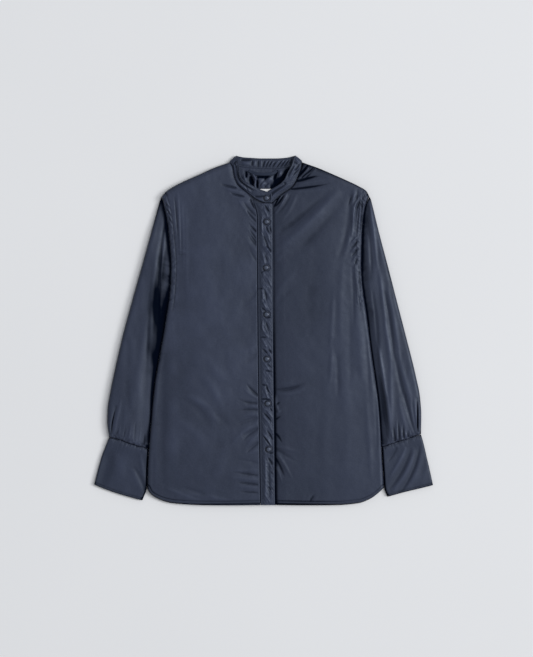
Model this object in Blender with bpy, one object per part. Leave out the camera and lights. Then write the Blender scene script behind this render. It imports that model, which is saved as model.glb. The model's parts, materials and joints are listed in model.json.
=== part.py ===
"""Padded overshirt with a stand collar, laid flat on a surface with its fronts up.

Lengths are in millimetres until they reach the mesh. X runs to the right of someone
who looks down at the fronts, Y runs towards the collar, and Z runs up from the surface
that the garment lies on. Right and left in a piece's name are the wearer's, so a right
piece lies at negative X.

Each panel is a thin padded wall: an outer and an inner grid of points, joined round
their rims. The back lies flat, the two fronts lie on it, and the placket lies on both.
The sleeves and cuffs are flattened tubes beside the body.
"""

from collections import namedtuple

import bmesh
import bpy
import numpy as np

MM = 0.001
TINY = 1e-6

# Walls and clearances
PADDED_WALL = 5.5        # two nylon faces with thin wadding between them
SEAM_WALL = 2.0          # the same wall where a seam presses it
HEM_WALL = 3.0           # turned hem
STRIP_WALL = 3.0         # folded strips: plackets and cuffs
COLLAR_WALL = 2.5
TAPE_WALL = 1.2
LABEL_WALL = 0.8
SEAM_GAP = 0.35          # between two layers that lie on each other
PLAN_GAP = 0.6           # between two pieces that meet edge to edge

# Heights above the surface
EDGE_LIFT = 3.6          # a side seam's lower face
EDGE_MIDDLE = EDGE_LIFT + SEAM_WALL + SEAM_GAP / 2
BODY_AIR = 2.2           # air between back and front, away from the seams
CENTRE_AIR = 2.9         # the right front climbs to the placket's level
NECK_AIR = 0.9
LEFT_CENTRE_AIR = 0.25   # the left front dips under the placket
UNDER_PLACKET_FLOOR = PADDED_WALL + 0.6
PLACKET_FLOOR = UNDER_PLACKET_FLOOR + STRIP_WALL + SEAM_GAP
PLACKET_PUFF = 0.8
SLEEVE_HALF_TOP = 7.8    # sleeve's upper layer above its folded edge
SLEEVE_HALF_SEAM = EDGE_MIDDLE - EDGE_LIFT
CUFF_MIDDLE = HEM_WALL + 0.6
CUFF_HALF_TOP = 4.4

# Distances over which a wall rounds off
LIFT_REACH = 14.0
WALL_REACH = 13.0
AIR_REACH = 22.0
CENTRE_REACH = 24.0
PRESSED_STRIP = 3.6      # flat strip of a front beside its centre edge
FOLD_FADE = 9.0
HEM_LIFT_FADE = 50.0
FOLDED_EDGE_RADIUS = 6.6
CUFF_EDGE_RADIUS = 3.8
CUFF_LEVEL_FADE = 30.0   # a cuff comes down from the sleeve's level over this length
FOLD_SHARE_INSIDE = 0.4  # how much of a fold the inner face follows
LEAST_HALF = 0.15        # half the space inside a pressed tube
MOST_INSET = 0.3         # largest share of a tube's width that one wall may take

UNDERARM_Y = 38.0
SNAP_RADIUS = 6.0
SNAP_HEIGHT = 2.0
SNAP_RIM = 0.7
SNAP_CLEARANCE = 0.3
BAND_SLOPE_ROOM = 0.15   # the collar band rises this much under its snap cap

Point = namedtuple("Point", "x y")
Fold = namedtuple("Fold", "x0 y0 x1 y1 bow width height")
Band = namedtuple("Band", "seam_x seam_y seam_z edge_x edge_y edge_z")
Snap = namedtuple("Snap", "x y")
Slit = namedtuple("Slit", "x y half_gap")
Tape = namedtuple("Tape", "x y z")

# Outlines, each as (x, y) from the collar or the sleeve's top downwards
RIGHT_SHOULDER = (
    Point(-71.6, 352.9), Point(-105.6, 340.7), Point(-132.9, 328.1), Point(-161.5, 315.5),
    Point(-187.1, 302.9), Point(-206.0, 290.3), Point(-214.2, 280.7),
)
LEFT_SHOULDER = (
    Point(81.5, 352.9), Point(115.3, 340.7), Point(144.7, 328.1), Point(173.0, 315.5),
    Point(199.5, 302.9), Point(216.1, 292.4), Point(222.6, 280.7),
)
RIGHT_BODY_EDGE = (
    Point(-214.2, 280.7), Point(-210.4, 265.8), Point(-203.9, 235.1), Point(-198.5, 190.2),
    Point(-194.8, 137.0), Point(-197.0, 84.5), Point(-206.5, 17.3), Point(-219.5, -58.3),
    Point(-229.0, -115.0), Point(-236.3, -190.6), Point(-241.5, -255.7),
    Point(-244.0, -304.0), Point(-244.9, -331.3),
)
LEFT_BODY_EDGE = (
    Point(222.6, 280.7), Point(215.5, 267.2), Point(210.6, 244.1), Point(207.0, 210.5),
    Point(205.0, 139.1), Point(207.5, 95.0), Point(215.0, 42.5), Point(227.0, -50.0),
    Point(235.5, -108.7), Point(241.0, -150.0), Point(245.5, -209.5),
    Point(248.6, -268.3), Point(251.2, -304.0), Point(253.1, -331.1),
)
RIGHT_HEM = (
    Point(-244.9, -331.3), Point(-241.3, -339.7), Point(-231.6, -348.5),
    Point(-207.3, -359.0), Point(-184.6, -363.2), Point(-120.3, -365.9),
    Point(-60.1, -365.3), Point(-7.0, -364.0),
)
LEFT_HEM = (
    Point(253.1, -331.1), Point(241.9, -341.6), Point(223.0, -354.6), Point(198.7, -363.0),
    Point(151.8, -366.4), Point(97.4, -366.2), Point(21.9, -364.9),
)
RIGHT_NECK = (
    Point(-71.6, 352.9), Point(-65.0, 341.0), Point(-61.8, 326.0), Point(-55.2, 307.5),
    Point(-45.6, 297.0), Point(-35.5, 289.0), Point(-27.5, 280.0), Point(-21.3, 266.6),
)
LEFT_NECK = (
    Point(81.5, 352.9), Point(79.6, 340.0), Point(73.9, 326.7), Point(69.3, 314.7),
    Point(62.2, 303.4), Point(54.8, 296.6), Point(42.8, 289.0), Point(28.8, 277.3),
    Point(15.4, 266.0),
)
BACK_NECK = (
    Point(-71.6, 352.9), Point(-60.0, 347.0), Point(-47.7, 343.0), Point(-31.9, 340.5),
    Point(-2.9, 339.0), Point(18.1, 338.4), Point(45.1, 341.1), Point(62.0, 346.0),
    Point(81.5, 352.9),
)
PLACKET_LEFT = (
    Point(-20.6, 266.6), Point(-17.2, 257.5), Point(-14.4, 248.0), Point(-13.2, 236.0),
    Point(-13.0, 147.5), Point(-10.7, -104.5), Point(-6.5, -366.8),
)
PLACKET_RIGHT = (
    Point(17.6, 266.0), Point(18.3, 236.0), Point(18.6, 147.5), Point(20.8, -104.5),
    Point(23.9, -366.8),
)
STRIP_OVERLAP = 2.2      # how far the left front reaches in under the placket
UNDER_PLACKET_WIDTH = 27.0

RIGHT_SLEEVE_FOLD = (
    Point(-215.9, 278.6), Point(-221.1, 260.9), Point(-235.2, 210.5),
    Point(-256.2, 134.9), Point(-277.4, 59.3), Point(-297.6, -16.3), Point(-314.8, -91.9),
    Point(-322.6, -129.7), Point(-328.4, -167.5), Point(-329.1, -192.7),
    Point(-324.9, -225.2),
)
LEFT_SLEEVE_FOLD = (
    Point(224.6, 278.6), Point(229.3, 260.9), Point(241.5, 210.5), Point(261.4, 134.9),
    Point(280.8, 59.3), Point(300.3, -16.3), Point(319.2, -91.9), Point(329.1, -142.3),
    Point(331.6, -178.0), Point(331.0, -218.7),
)
RIGHT_CUFF_SEAM = (
    Point(-324.9, -225.2), Point(-302.6, -230.1), Point(-284.1, -237.2),
    Point(-267.3, -242.0), Point(-242.5, -248.5),
)
LEFT_CUFF_SEAM = (
    Point(331.0, -218.7), Point(314.4, -223.5), Point(298.2, -229.2), Point(282.2, -233.9),
    Point(262.1, -240.6), Point(248.9, -245.6),
)
RIGHT_CUFF_OUTER = (
    Point(-325.4, -226.6), Point(-333.9, -247.3), Point(-341.0, -266.2),
    Point(-350.5, -300.8), Point(-356.4, -324.1),
)
LEFT_CUFF_OUTER = (
    Point(331.2, -220.2), Point(336.0, -236.0), Point(343.6, -268.3), Point(351.1, -300.8),
    Point(356.4, -325.5),
)
RIGHT_CUFF_HEM = (
    Point(-356.4, -324.1), Point(-335.6, -332.7), Point(-303.7, -343.9),
    Point(-270.9, -353.3), Point(-254.9, -357.5),
)
LEFT_CUFF_HEM = (
    Point(356.4, -325.5), Point(327.6, -332.7), Point(299.7, -339.3), Point(260.4, -350.0),
)
RIGHT_CUFF_INNER = (
    Point(-242.9, -250.0), Point(-245.2, -290.0), Point(-246.6, -332.0),
    Point(-254.9, -357.5),
)
LEFT_CUFF_INNER = (
    Point(249.1, -247.2), Point(252.2, -300.0), Point(254.6, -333.0), Point(260.4, -350.0),
)

# Sleeve slits above the cuffs: middle line and half the gap, from the top down
RIGHT_SLIT = (
    Slit(-310.0, -160.1, 0.0), Slit(-314.0, -175.0, 1.4), Slit(-317.5, -190.0, 1.9),
    Slit(-319.5, -203.0, 1.4), Slit(-320.0, -214.0, 0.0),
)
LEFT_SLIT = (
    Slit(322.5, -144.0, 0.0), Slit(323.6, -164.0, 1.6), Slit(323.8, -184.3, 1.9),
    Slit(323.9, -200.0, 1.6), Slit(324.2, -213.0, 0.0),
)

# Collar band, one row for each section: its seam end and its free edge, middle of the wall.
# It starts at the right end, which laps over, and goes round behind the neck.
COLLAR_SECTIONS = (
    Band(17.3, 268.2, 11.3, 17.3, 287.0, 11.6),
    Band(2.0, 269.0, 11.3, 4.8, 291.8, 11.6),
    Band(-13.5, 274.6, 11.0, -6.0, 295.2, 12.0),
    Band(-25.2, 283.4, 10.2, -17.0, 300.0, 13.6),
    Band(-34.6, 290.6, 9.4, -27.0, 305.3, 16.2),
    Band(-44.3, 298.4, 8.8, -36.0, 310.5, 19.3),
    Band(-53.6, 308.6, 8.4, -44.0, 316.0, 21.8),
    Band(-59.7, 325.0, 8.3, -49.5, 325.5, 22.5),
    Band(-62.6, 338.5, 8.3, -50.6, 341.0, 19.0),
    Band(-66.6, 348.5, 8.2, -52.6, 355.0, 12.5),
    Band(-69.6, 352.6, 7.8, -55.0, 364.0, 8.4),
    Band(-70.9, 354.7, 4.6, -56.4, 366.8, 4.6),
    Band(-68.6, 353.5, 1.6, -54.2, 366.4, 1.6),
    Band(-59.5, 348.3, 1.3, -49.0, 365.2, 1.3),
    Band(-47.4, 344.1, 1.3, -42.0, 364.0, 1.3),
    Band(-31.9, 341.6, 1.3, -27.0, 363.0, 1.3),
    Band(-2.9, 340.1, 1.3, -2.0, 361.7, 1.3),
    Band(18.1, 339.6, 1.3, 23.5, 361.7, 1.3),
    Band(45.1, 342.3, 1.3, 47.5, 363.2, 1.3),
    Band(61.7, 347.3, 1.3, 57.0, 364.8, 1.3),
    Band(78.0, 353.7, 1.6, 63.6, 366.6, 1.6),
    Band(80.8, 355.0, 4.6, 65.9, 367.0, 4.6),
    Band(79.6, 352.2, 7.9, 64.2, 363.4, 8.3),
    Band(77.6, 341.0, 8.6, 58.5, 346.0, 12.5),
    Band(72.3, 327.2, 8.6, 50.0, 330.5, 14.0),
    Band(67.6, 315.4, 8.5, 43.5, 316.5, 13.5),
    Band(60.7, 304.6, 8.4, 36.5, 309.0, 12.5),
    Band(53.6, 298.2, 8.3, 29.5, 304.0, 11.5),
    Band(41.9, 290.5, 8.2, 20.5, 298.8, 10.0),
    Band(28.2, 278.9, 8.0, 11.0, 293.6, 8.6),
    Band(16.6, 268.0, 7.9, 2.5, 286.5, 8.1),
    Band(2.0, 266.4, 7.9, -7.5, 285.5, 8.0),
)

# Folds, each a soft ridge (height above zero) or trough (below zero) from its first point
# to its last, bowed sideways to the left of that way, with its half width and height.
RIGHT_FRONT_FOLDS = (
    Fold(-158.0, -70.0, -98.0, -132.0, 9.0, 11.0, 3.2),
    Fold(-160.0, -152.0, -104.0, -196.0, 8.0, 10.0, 2.4),
    Fold(-84.0, 304.0, -56.0, 292.0, 0.0, 7.0, 2.4),
    Fold(-66.0, 284.0, -26.0, 226.0, -4.0, 8.0, 2.7),
    Fold(-62.0, -90.0, -14.0, -132.0, 5.0, 8.0, -2.3),
    Fold(-70.0, -208.0, -14.0, -168.0, -5.0, 9.0, 2.7),
    Fold(-64.0, -262.0, -12.0, -212.0, -6.0, 8.0, 2.4),
    Fold(-180.0, -40.0, -196.0, -250.0, 8.0, 16.0, 2.2),
    Fold(-168.0, -352.0, -130.0, -330.0, 0.0, 9.0, 2.2),
    Fold(-176.0, 250.0, -172.0, 90.0, -4.0, 14.0, 2.0),
)
LEFT_FRONT_FOLDS = (
    Fold(156.0, 292.0, 36.0, 154.0, 4.0, 15.0, 5.1),
    Fold(188.0, 296.0, 162.0, 150.0, 8.0, 8.0, 4.1),
    Fold(162.0, 150.0, 170.0, -40.0, 6.0, 14.0, 2.4),
    Fold(200.0, 40.0, 204.0, -220.0, 0.0, 14.0, 3.2),
    Fold(24.0, -124.0, 84.0, -108.0, -13.0, 8.0, -2.5),
    Fold(24.0, -262.0, 62.0, -318.0, 3.0, 7.0, 2.2),
    Fold(186.0, 240.0, 186.0, 60.0, 2.0, 6.0, 2.7),
    Fold(60.0, 300.0, 130.0, 262.0, 0.0, 10.0, -2.1),
    Fold(118.0, -60.0, 132.0, -250.0, -6.0, 18.0, 2.2),
)
RIGHT_SLEEVE_FOLDS = (
    Fold(-213.0, 232.0, -246.0, -20.0, -10.0, 7.0, 3.5),
    Fold(-222.0, 150.0, -250.0, -60.0, -5.0, 7.0, -2.3),
    Fold(-236.0, 150.0, -286.0, -110.0, -4.0, 11.0, 2.4),
    Fold(-262.0, -60.0, -270.0, -226.0, 3.0, 8.0, 2.2),
    Fold(-300.0, -120.0, -300.0, -222.0, 0.0, 8.0, 2.0),
    Fold(-285.0, -150.0, -286.0, -228.0, 0.0, 6.0, -1.6),
)
LEFT_SLEEVE_FOLDS = (
    Fold(227.0, 240.0, 262.0, 20.0, 5.0, 7.0, 3.5),
    Fold(262.0, 20.0, 270.0, -150.0, 6.0, 8.0, 3.5),
    Fold(240.0, 120.0, 262.0, -190.0, 8.0, 6.0, -2.5),
    Fold(254.0, 40.0, 320.0, -206.0, -9.0, 7.0, -2.8),
    Fold(262.0, 90.0, 306.0, -120.0, 3.0, 9.0, 3.0),
    Fold(290.0, -140.0, 314.0, -216.0, -4.0, 6.0, 2.4),
    Fold(272.0, -170.0, 276.0, -230.0, 0.0, 4.5, -1.7),
    Fold(283.0, -180.0, 286.0, -226.0, 0.0, 4.5, -1.7),
)
RIGHT_CUFF_FOLDS = (
    Fold(-280.0, -276.0, -258.0, -342.0, -5.0, 7.0, 1.9),
    Fold(-330.0, -262.0, -300.0, -300.0, 4.0, 10.0, 1.4),
)
LEFT_CUFF_FOLDS = (
    Fold(304.0, -250.0, 262.0, -328.0, 4.0, 6.0, -1.6),
    Fold(326.0, -246.0, 290.0, -332.0, 7.0, 5.0, -1.4),
    Fold(312.0, -250.0, 274.0, -332.0, 5.0, 6.0, 1.9),
)

SNAPS = (
    Snap(6.3, 277.5), Snap(6.3, 227.5), Snap(5.6, 131.4), Snap(6.3, 33.1),
    Snap(6.8, -60.2), Snap(8.8, -153.8), Snap(10.5, -250.0),
)

# Middle line of the hanger loop's lower face
LOOP_MIDDLE = (
    Tape(-31.5, 336.0, 5.9), Tape(-24.0, 331.5, 6.4), Tape(-14.5, 328.4, 7.5),
    Tape(2.0, 327.6, 8.0), Tape(16.5, 328.4, 7.5), Tape(23.5, 331.5, 6.4),
    Tape(27.5, 336.0, 5.9),
)
LOOP_WIDTH = 7.0
LABEL_LEFT = -7.0
LABEL_RIGHT = 17.6
LABEL_TOP = 297.0
LABEL_HEIGHT = 12.0

# Mesh density: lengths in millimetres, fractions along or across a piece, and counts
EDGE_STATIONS = (0.0, 3.0, 9.0)
STRIP_FRACTIONS = (0.0, 0.12, 0.5, 0.88, 1.0)
COLLAR_FRACTIONS = (0.0, 0.3, 0.7, 1.0)
ARMHOLE_FRACTIONS = (0.0, 0.014, 0.03, 0.052)
FIRST_SLEEVE_ROW = 0.085
SLIT_ROW_ROOM = 0.02
SLEEVE_EDGE_STEP = 1.6
CUFF_EDGE_STEPS = (1.2, 3.6)
CURVE_SAMPLES = 400
FRONT_COLUMNS = 11
NECK_ROWS = 7
FRONT_ROWS = 15
SHOULDER_COLUMNS = 4
BACK_NECK_COLUMNS = 7
BACK_ROWS = 13
PLACKET_ROWS = 24
COLLAR_STEP = 22.0       # longest step between two sections of the collar
SLEEVE_ROWS = 10         # between the armhole's rows and the slit
SLEEVE_COLUMNS = 13
CUFF_ROWS = 5
CUFF_COLUMNS = 12
SNAP_SIDES = 12
LOOP_STATIONS = 13
SHARP_ANGLE = np.radians(50.0)

NAVY = (0.040, 0.048, 0.075)
DEEP_NAVY = (0.022, 0.028, 0.046)
SNAP_NAVY = (0.060, 0.066, 0.090)
LABEL_WHITE = (0.86, 0.86, 0.88)


# ---------------------------------------------------------------- curves and grids


def smooth_curve(points, places=None):
    """Read a smooth curve through the points, without overshoot between them.

    Each coordinate is a cubic between two points. Its slope at a point is the weighted
    harmonic mean of the slopes on both sides, or level where they change sign.
    """
    points = np.array(points, dtype=float)
    knots = knot_places(points)
    spans = np.diff(knots)[:, None]
    secants = np.diff(points, axis=0) / spans
    slopes = np.vstack([secants[:1], np.zeros_like(points[2:]), secants[-1:]])
    before, after = secants[:-1], secants[1:]
    weight0 = 2 * spans[1:] + spans[:-1]
    weight1 = spans[1:] + 2 * spans[:-1]
    same_way = before * after > 0.0
    safe0 = np.where(same_way, before, 1.0)
    safe1 = np.where(same_way, after, 1.0)
    mean = (weight0 + weight1) / (weight0 / safe0 + weight1 / safe1)
    slopes[1:-1] = np.where(same_way, mean, 0.0)
    if places is None:
        places = np.linspace(0.0, knots[-1], CURVE_SAMPLES)
    span = np.clip(np.searchsorted(knots, places, side="right") - 1, 0, len(points) - 2)
    size = spans[span]
    part = (places - knots[span])[:, None] / size
    rise = part * part * (3.0 - 2.0 * part)
    leave = part * (1.0 - part) ** 2 * size
    arrive = -part * part * (1.0 - part) * size
    straight = points[span] * (1.0 - rise) + points[span + 1] * rise
    return straight + leave * slopes[span] + arrive * slopes[span + 1]


def knot_places(points):
    """Return how far along its straight steps each point lies."""
    steps = np.linalg.norm(np.diff(points, axis=0), axis=1)
    return np.concatenate(([0.0], np.cumsum(steps)))


def join_curves(*curves):
    """Join dense curves end to end, dropping each repeated first point."""
    return np.vstack([curves[0]] + [curve[1:] for curve in curves[1:]])


def curve_length(curve):
    """Return the length of a dense curve."""
    return float(np.linalg.norm(np.diff(curve, axis=0), axis=1).sum())


def read_curve(curve, fractions):
    """Read points of a dense curve at fractions of its length."""
    steps = np.linalg.norm(np.diff(curve, axis=0), axis=1)
    travelled = np.concatenate(([0.0], np.cumsum(steps)))
    wanted = np.asarray(fractions) * travelled[-1]
    return np.stack([np.interp(wanted, travelled, axis) for axis in curve.T], axis=-1)


def split_at_y(curve, level):
    """Split a curve that runs downwards at a height on the plan."""
    turn = int(np.argmax(curve[:, 1] < level))
    return curve[:turn + 1], curve[turn:]


def shift_sideways(curve, distance):
    """Move a plan curve sideways, to the left of its own direction."""
    along = np.gradient(curve, axis=0)
    along /= np.linalg.norm(along, axis=1)[:, None]
    return curve + distance * np.stack([-along[:, 1], along[:, 0]], axis=-1)


def spaced_fractions(length, count, start=EDGE_STATIONS, end=EDGE_STATIONS):
    """Return fractions from 0 to 1, with extra stations near the two ends."""
    first = start[-1] / length if start else 0.0
    last = 1.0 - (end[-1] / length if end else 0.0)
    middle = np.linspace(first, last, count + 1)
    head = np.array(start[:-1]) / length
    tail = 1.0 - np.array(end[:-1])[::-1] / length
    return np.concatenate([head, middle, tail])


def patch(start, end, top, bottom, across, down):
    """Fill four edge curves with a grid of plan points, rows from top to bottom.

    Each point blends the two side curves and the two end curves, less the plain blend
    of the four corners.
    """
    side0 = read_curve(start, down)[:, None, :]
    side1 = read_curve(end, down)[:, None, :]
    row0 = read_curve(top, across)[None, :, :]
    row1 = read_curve(bottom, across)[None, :, :]
    s = np.asarray(across)[None, :, None]
    t = np.asarray(down)[:, None, None]
    corners = (
        (1 - s) * (1 - t) * top[0] + s * (1 - t) * top[-1]
        + (1 - s) * t * bottom[0] + s * t * bottom[-1]
    )
    return (1 - s) * side0 + s * side1 + (1 - t) * row0 + t * row1 - corners


def distance_to(plan, curve):
    """Distance from each plan point to the nearest point of a dense curve."""
    flat = plan.reshape(-1, 1, 2)
    starts = curve[:-1][None]
    along = np.diff(curve, axis=0)[None]
    length2 = np.maximum((along ** 2).sum(axis=2), TINY ** 2)
    part = np.clip(((flat - starts) * along).sum(axis=2) / length2, 0.0, 1.0)
    nearest = starts + part[..., None] * along
    gaps = np.linalg.norm(flat - nearest, axis=2).min(axis=1)
    return gaps.reshape(plan.shape[:-1])


def rounded(distance, reach):
    """Rise of a quarter round: 0 at an edge, 1 from one reach inwards."""
    part = np.clip(distance / reach, 0.0, 1.0)
    return np.sqrt(1.0 - (1.0 - part) ** 2)


def eased(distance, reach):
    """Rise of an S curve: 0 at an edge, 1 from one reach inwards."""
    part = np.clip(distance / reach, 0.0, 1.0)
    return part * part * (3.0 - 2.0 * part)


def fold_height(plan, folds):
    """Sum of the folds: each a bell across its bowed line, eased off at both ends."""
    total = np.zeros(plan.shape[:-1])
    for fold in folds:
        start = np.array([fold.x0, fold.y0])
        along = np.array([fold.x1, fold.y1]) - start
        length = np.linalg.norm(along)
        along = along / length
        side = np.array([-along[1], along[0]])
        offset = plan - start
        travel = (offset @ along) / length
        inside = np.clip(travel, 0.0, 1.0)
        aside = offset @ side - fold.bow * 4.0 * inside * (1.0 - inside)
        ends = np.sqrt(np.clip(np.sin(np.pi * np.clip(travel, 0.0, 1.0)), 0.0, 1.0))
        total += fold.height * np.exp(-(aside / fold.width) ** 2) * ends
    return total


def with_height(plan, height):
    """Join plan points and heights into points in space."""
    return np.concatenate([plan, height[..., None]], axis=-1)


# ---------------------------------------------------------------- objects


def make_material(name, colour, roughness, metallic=0.0):
    """Make a plain surface of one colour."""
    material = bpy.data.materials.new(name)
    material.use_nodes = True
    shader = material.node_tree.nodes["Principled BSDF"]
    shader.inputs["Base Color"].default_value = (*colour, 1.0)
    shader.inputs["Roughness"].default_value = roughness
    shader.inputs["Metallic"].default_value = metallic
    return material


def add_object(name, vertices, faces, material):
    """Make a mesh object from points in millimetres, with its faces pointing out."""
    mesh = bpy.data.meshes.new(name)
    mesh.from_pydata([tuple(point * MM) for point in vertices], [], faces)
    shape = bmesh.new()
    shape.from_mesh(mesh)
    if shape.calc_volume(signed=True) < 0.0:
        bmesh.ops.reverse_faces(shape, faces=shape.faces[:])
    shape.to_mesh(mesh)
    shape.free()
    mesh.shade_smooth()
    mesh.set_sharp_from_angle(angle=SHARP_ANGLE)
    mesh.materials.append(material)
    cloth = bpy.data.objects.new(name, mesh)
    bpy.context.scene.collection.objects.link(cloth)
    return cloth


def cloth_wall(name, outer, inner, material, closed_rows=None):
    """Make one closed wall from an outer and an inner grid of points.

    In a closed row the last point is the first one again, so the wall is a tube there.
    Between open rows the two ends get rims, which makes a panel, or a slit in a tube.
    """
    rows, columns = outer.shape[:2]
    closed = np.zeros(rows, bool) if closed_rows is None else closed_rows
    index = np.arange(rows * columns).reshape(rows, columns)
    index[closed, -1] = index[closed, 0]
    under = index + rows * columns
    vertices = np.vstack([outer.reshape(-1, 3), inner.reshape(-1, 3)])
    faces = []
    for i in range(rows - 1):
        for j in range(columns - 1):
            a, b = index[i, j], index[i, j + 1]
            c, d = index[i + 1, j + 1], index[i + 1, j]
            faces.append((a, b, c, d))
            a, b = under[i, j], under[i, j + 1]
            c, d = under[i + 1, j + 1], under[i + 1, j]
            faces.append((d, c, b, a))
        if not (closed[i] and closed[i + 1]):
            faces.append((index[i, 0], index[i + 1, 0], under[i + 1, 0], under[i, 0]))
            faces.append((under[i, -1], under[i + 1, -1], index[i + 1, -1], index[i, -1]))
    for j in range(columns - 1):
        faces.append((index[0, j + 1], index[0, j], under[0, j], under[0, j + 1]))
        faces.append((index[-1, j], index[-1, j + 1], under[-1, j + 1], under[-1, j]))
    used = np.unique([corner for face in faces for corner in face])
    renumber = {int(old): new for new, old in enumerate(used)}
    faces = [tuple(renumber[int(corner)] for corner in face) for face in faces]
    return add_object(name, vertices[used], faces, material)


# ---------------------------------------------------------------- body


class BodyShape:
    """Plan curves of the body, and the heights of its layers."""

    def __init__(self):
        self.right_edge = smooth_curve(RIGHT_BODY_EDGE)
        self.left_edge = smooth_curve(LEFT_BODY_EDGE)
        self.right_shoulder = smooth_curve(RIGHT_SHOULDER)
        self.left_shoulder = smooth_curve(LEFT_SHOULDER)
        self.right_hem = smooth_curve(RIGHT_HEM)
        self.left_hem = smooth_curve(LEFT_HEM)
        self.back_neck = smooth_curve(BACK_NECK)
        self.hem = join_curves(self.right_hem, self.left_hem[::-1])

    def edge_distance(self, plan):
        """Distance to the nearest shoulder, armhole or side seam."""
        curves = (self.right_edge, self.left_edge, self.right_shoulder, self.left_shoulder)
        return np.min([distance_to(plan, curve) for curve in curves], axis=0)

    def wall(self, plan, neck=None, centre=None):
        """Thickness of a padded panel: pressed at its seams and turned at its hem."""
        loss = (PADDED_WALL - SEAM_WALL) * (1 - rounded(self.edge_distance(plan), WALL_REACH))
        turned = PADDED_WALL - HEM_WALL
        for seam, pressed_strip in ((self.hem, 0.0), (neck, 0.0), (centre, PRESSED_STRIP)):
            if seam is not None:
                away = distance_to(plan, seam) - pressed_strip
                loss = np.maximum(loss, turned * (1 - rounded(away, WALL_REACH)))
        return PADDED_WALL - loss

    def back_outside(self, plan):
        """Height of the back's underside: flat, and lifted along its seams."""
        lift = EDGE_LIFT * (1 - rounded(self.edge_distance(plan), LIFT_REACH))
        return lift * eased(distance_to(plan, self.hem), HEM_LIFT_FADE)

    def back_inside(self, plan):
        """Height of the back's upper face."""
        return self.back_outside(plan) + self.wall(plan)


def front_air(body, plan, neck, centre, centre_air):
    """Air between the back and a front, which narrows to the seams and the hem."""
    air = BODY_AIR * rounded(body.edge_distance(plan), AIR_REACH)
    air = air * rounded(distance_to(plan, body.hem), AIR_REACH)
    near_neck = 1 - rounded(distance_to(plan, neck), AIR_REACH)
    near_centre = 1 - eased(distance_to(plan, centre) - PRESSED_STRIP, CENTRE_REACH)
    near_centre = near_centre * rounded(distance_to(plan, body.hem), AIR_REACH)
    air = air + (np.minimum(NECK_AIR, air) - air) * near_neck
    return air + (centre_air - air) * near_centre


def make_front(body, name, edges, centre_air, folds, material):
    """Make one front: a padded panel that lies on the back."""
    neck, centre, side, shoulder, hem = edges
    inner_side = join_curves(neck, centre)
    across = spaced_fractions(curve_length(hem), FRONT_COLUMNS)
    length = curve_length(inner_side)
    neck_share = curve_length(neck) / length
    down = np.concatenate([
        spaced_fractions(length * neck_share, NECK_ROWS, end=(0.0,)) * neck_share,
        neck_share + spaced_fractions(length, FRONT_ROWS, start=(0.0,))[1:] * (1 - neck_share),
    ])
    plan = patch(inner_side, side, shoulder, hem[::-1], across, down)
    rim = join_curves(inner_side, hem[::-1], side[::-1], shoulder[::-1])
    fade = eased(distance_to(plan, rim), FOLD_FADE)
    folding = fold_height(plan, folds) * fade
    inside = body.back_inside(plan) + SEAM_GAP
    inside = inside + front_air(body, plan, neck, centre, centre_air)
    inside = inside + FOLD_SHARE_INSIDE * folding
    outside = inside + body.wall(plan, neck, centre) + (1 - FOLD_SHARE_INSIDE) * folding
    return cloth_wall(name, with_height(plan, outside), with_height(plan, inside), material)


def make_back(body, material):
    """Make the back: flat on the surface, its neck edge open to the collar."""
    top = join_curves(
        body.right_shoulder[::-1], body.back_neck, body.left_shoulder,
    )
    shoulder_share = curve_length(body.right_shoulder) / curve_length(top)
    neck_share = curve_length(body.back_neck) / curve_length(top)
    shoulder = spaced_fractions(curve_length(body.right_shoulder), SHOULDER_COLUMNS, end=(0.0,))
    across = np.concatenate([
        shoulder * shoulder_share,
        shoulder_share + neck_share * np.linspace(0.0, 1.0, BACK_NECK_COLUMNS + 1)[1:-1],
        1.0 - shoulder[::-1] * (1.0 - shoulder_share - neck_share),
    ])
    down = spaced_fractions(curve_length(body.right_edge), BACK_ROWS)
    plan = patch(body.right_edge, body.left_edge, top, body.hem, across, down)
    outside = with_height(plan, body.back_outside(plan))
    inside = with_height(plan, body.back_inside(plan))
    return cloth_wall("back_panel", outside, inside, material)


def make_body(materials):
    """Make the back and the two fronts."""
    body = BodyShape()
    make_back(body, materials["padded_nylon"])
    right_neck = smooth_curve(RIGHT_NECK)
    right_centre = shift_sideways(smooth_curve(PLACKET_LEFT), -PLAN_GAP)
    right_edges = (
        right_neck, join_curves(right_neck[-1:], right_centre), body.right_edge,
        body.right_shoulder, body.right_hem,
    )
    make_front(
        body, "front_right", right_edges, CENTRE_AIR, RIGHT_FRONT_FOLDS,
        materials["padded_nylon"],
    )
    left_neck = smooth_curve(LEFT_NECK)
    left_centre = smooth_curve(PLACKET_RIGHT) - np.array([STRIP_OVERLAP, 0.0])
    left_edges = (
        left_neck, join_curves(left_neck[-1:], left_centre), body.left_edge,
        body.left_shoulder, body.left_hem,
    )
    make_front(
        body, "front_left", left_edges, LEFT_CENTRE_AIR, LEFT_FRONT_FOLDS,
        materials["padded_nylon"],
    )
    return body


def make_strip(name, left, right, floor, puff, material):
    """Make a placket strip between two plan curves, a little fuller in its middle."""
    across = np.array(STRIP_FRACTIONS)
    down = np.linspace(0.0, 1.0, PLACKET_ROWS + 1)
    ends_top = np.array([left[0], right[0]])
    ends_bottom = np.array([left[-1], right[-1]])
    plan = patch(left, right, ends_top, ends_bottom, across, down)
    fullness = puff * np.sin(np.pi * across)[None, :] ** 0.5 * np.ones((len(down), 1))
    lower = with_height(plan, np.full(plan.shape[:-1], floor))
    upper = with_height(plan, floor + STRIP_WALL + fullness)
    return cloth_wall(name, upper, lower, material)


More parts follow.
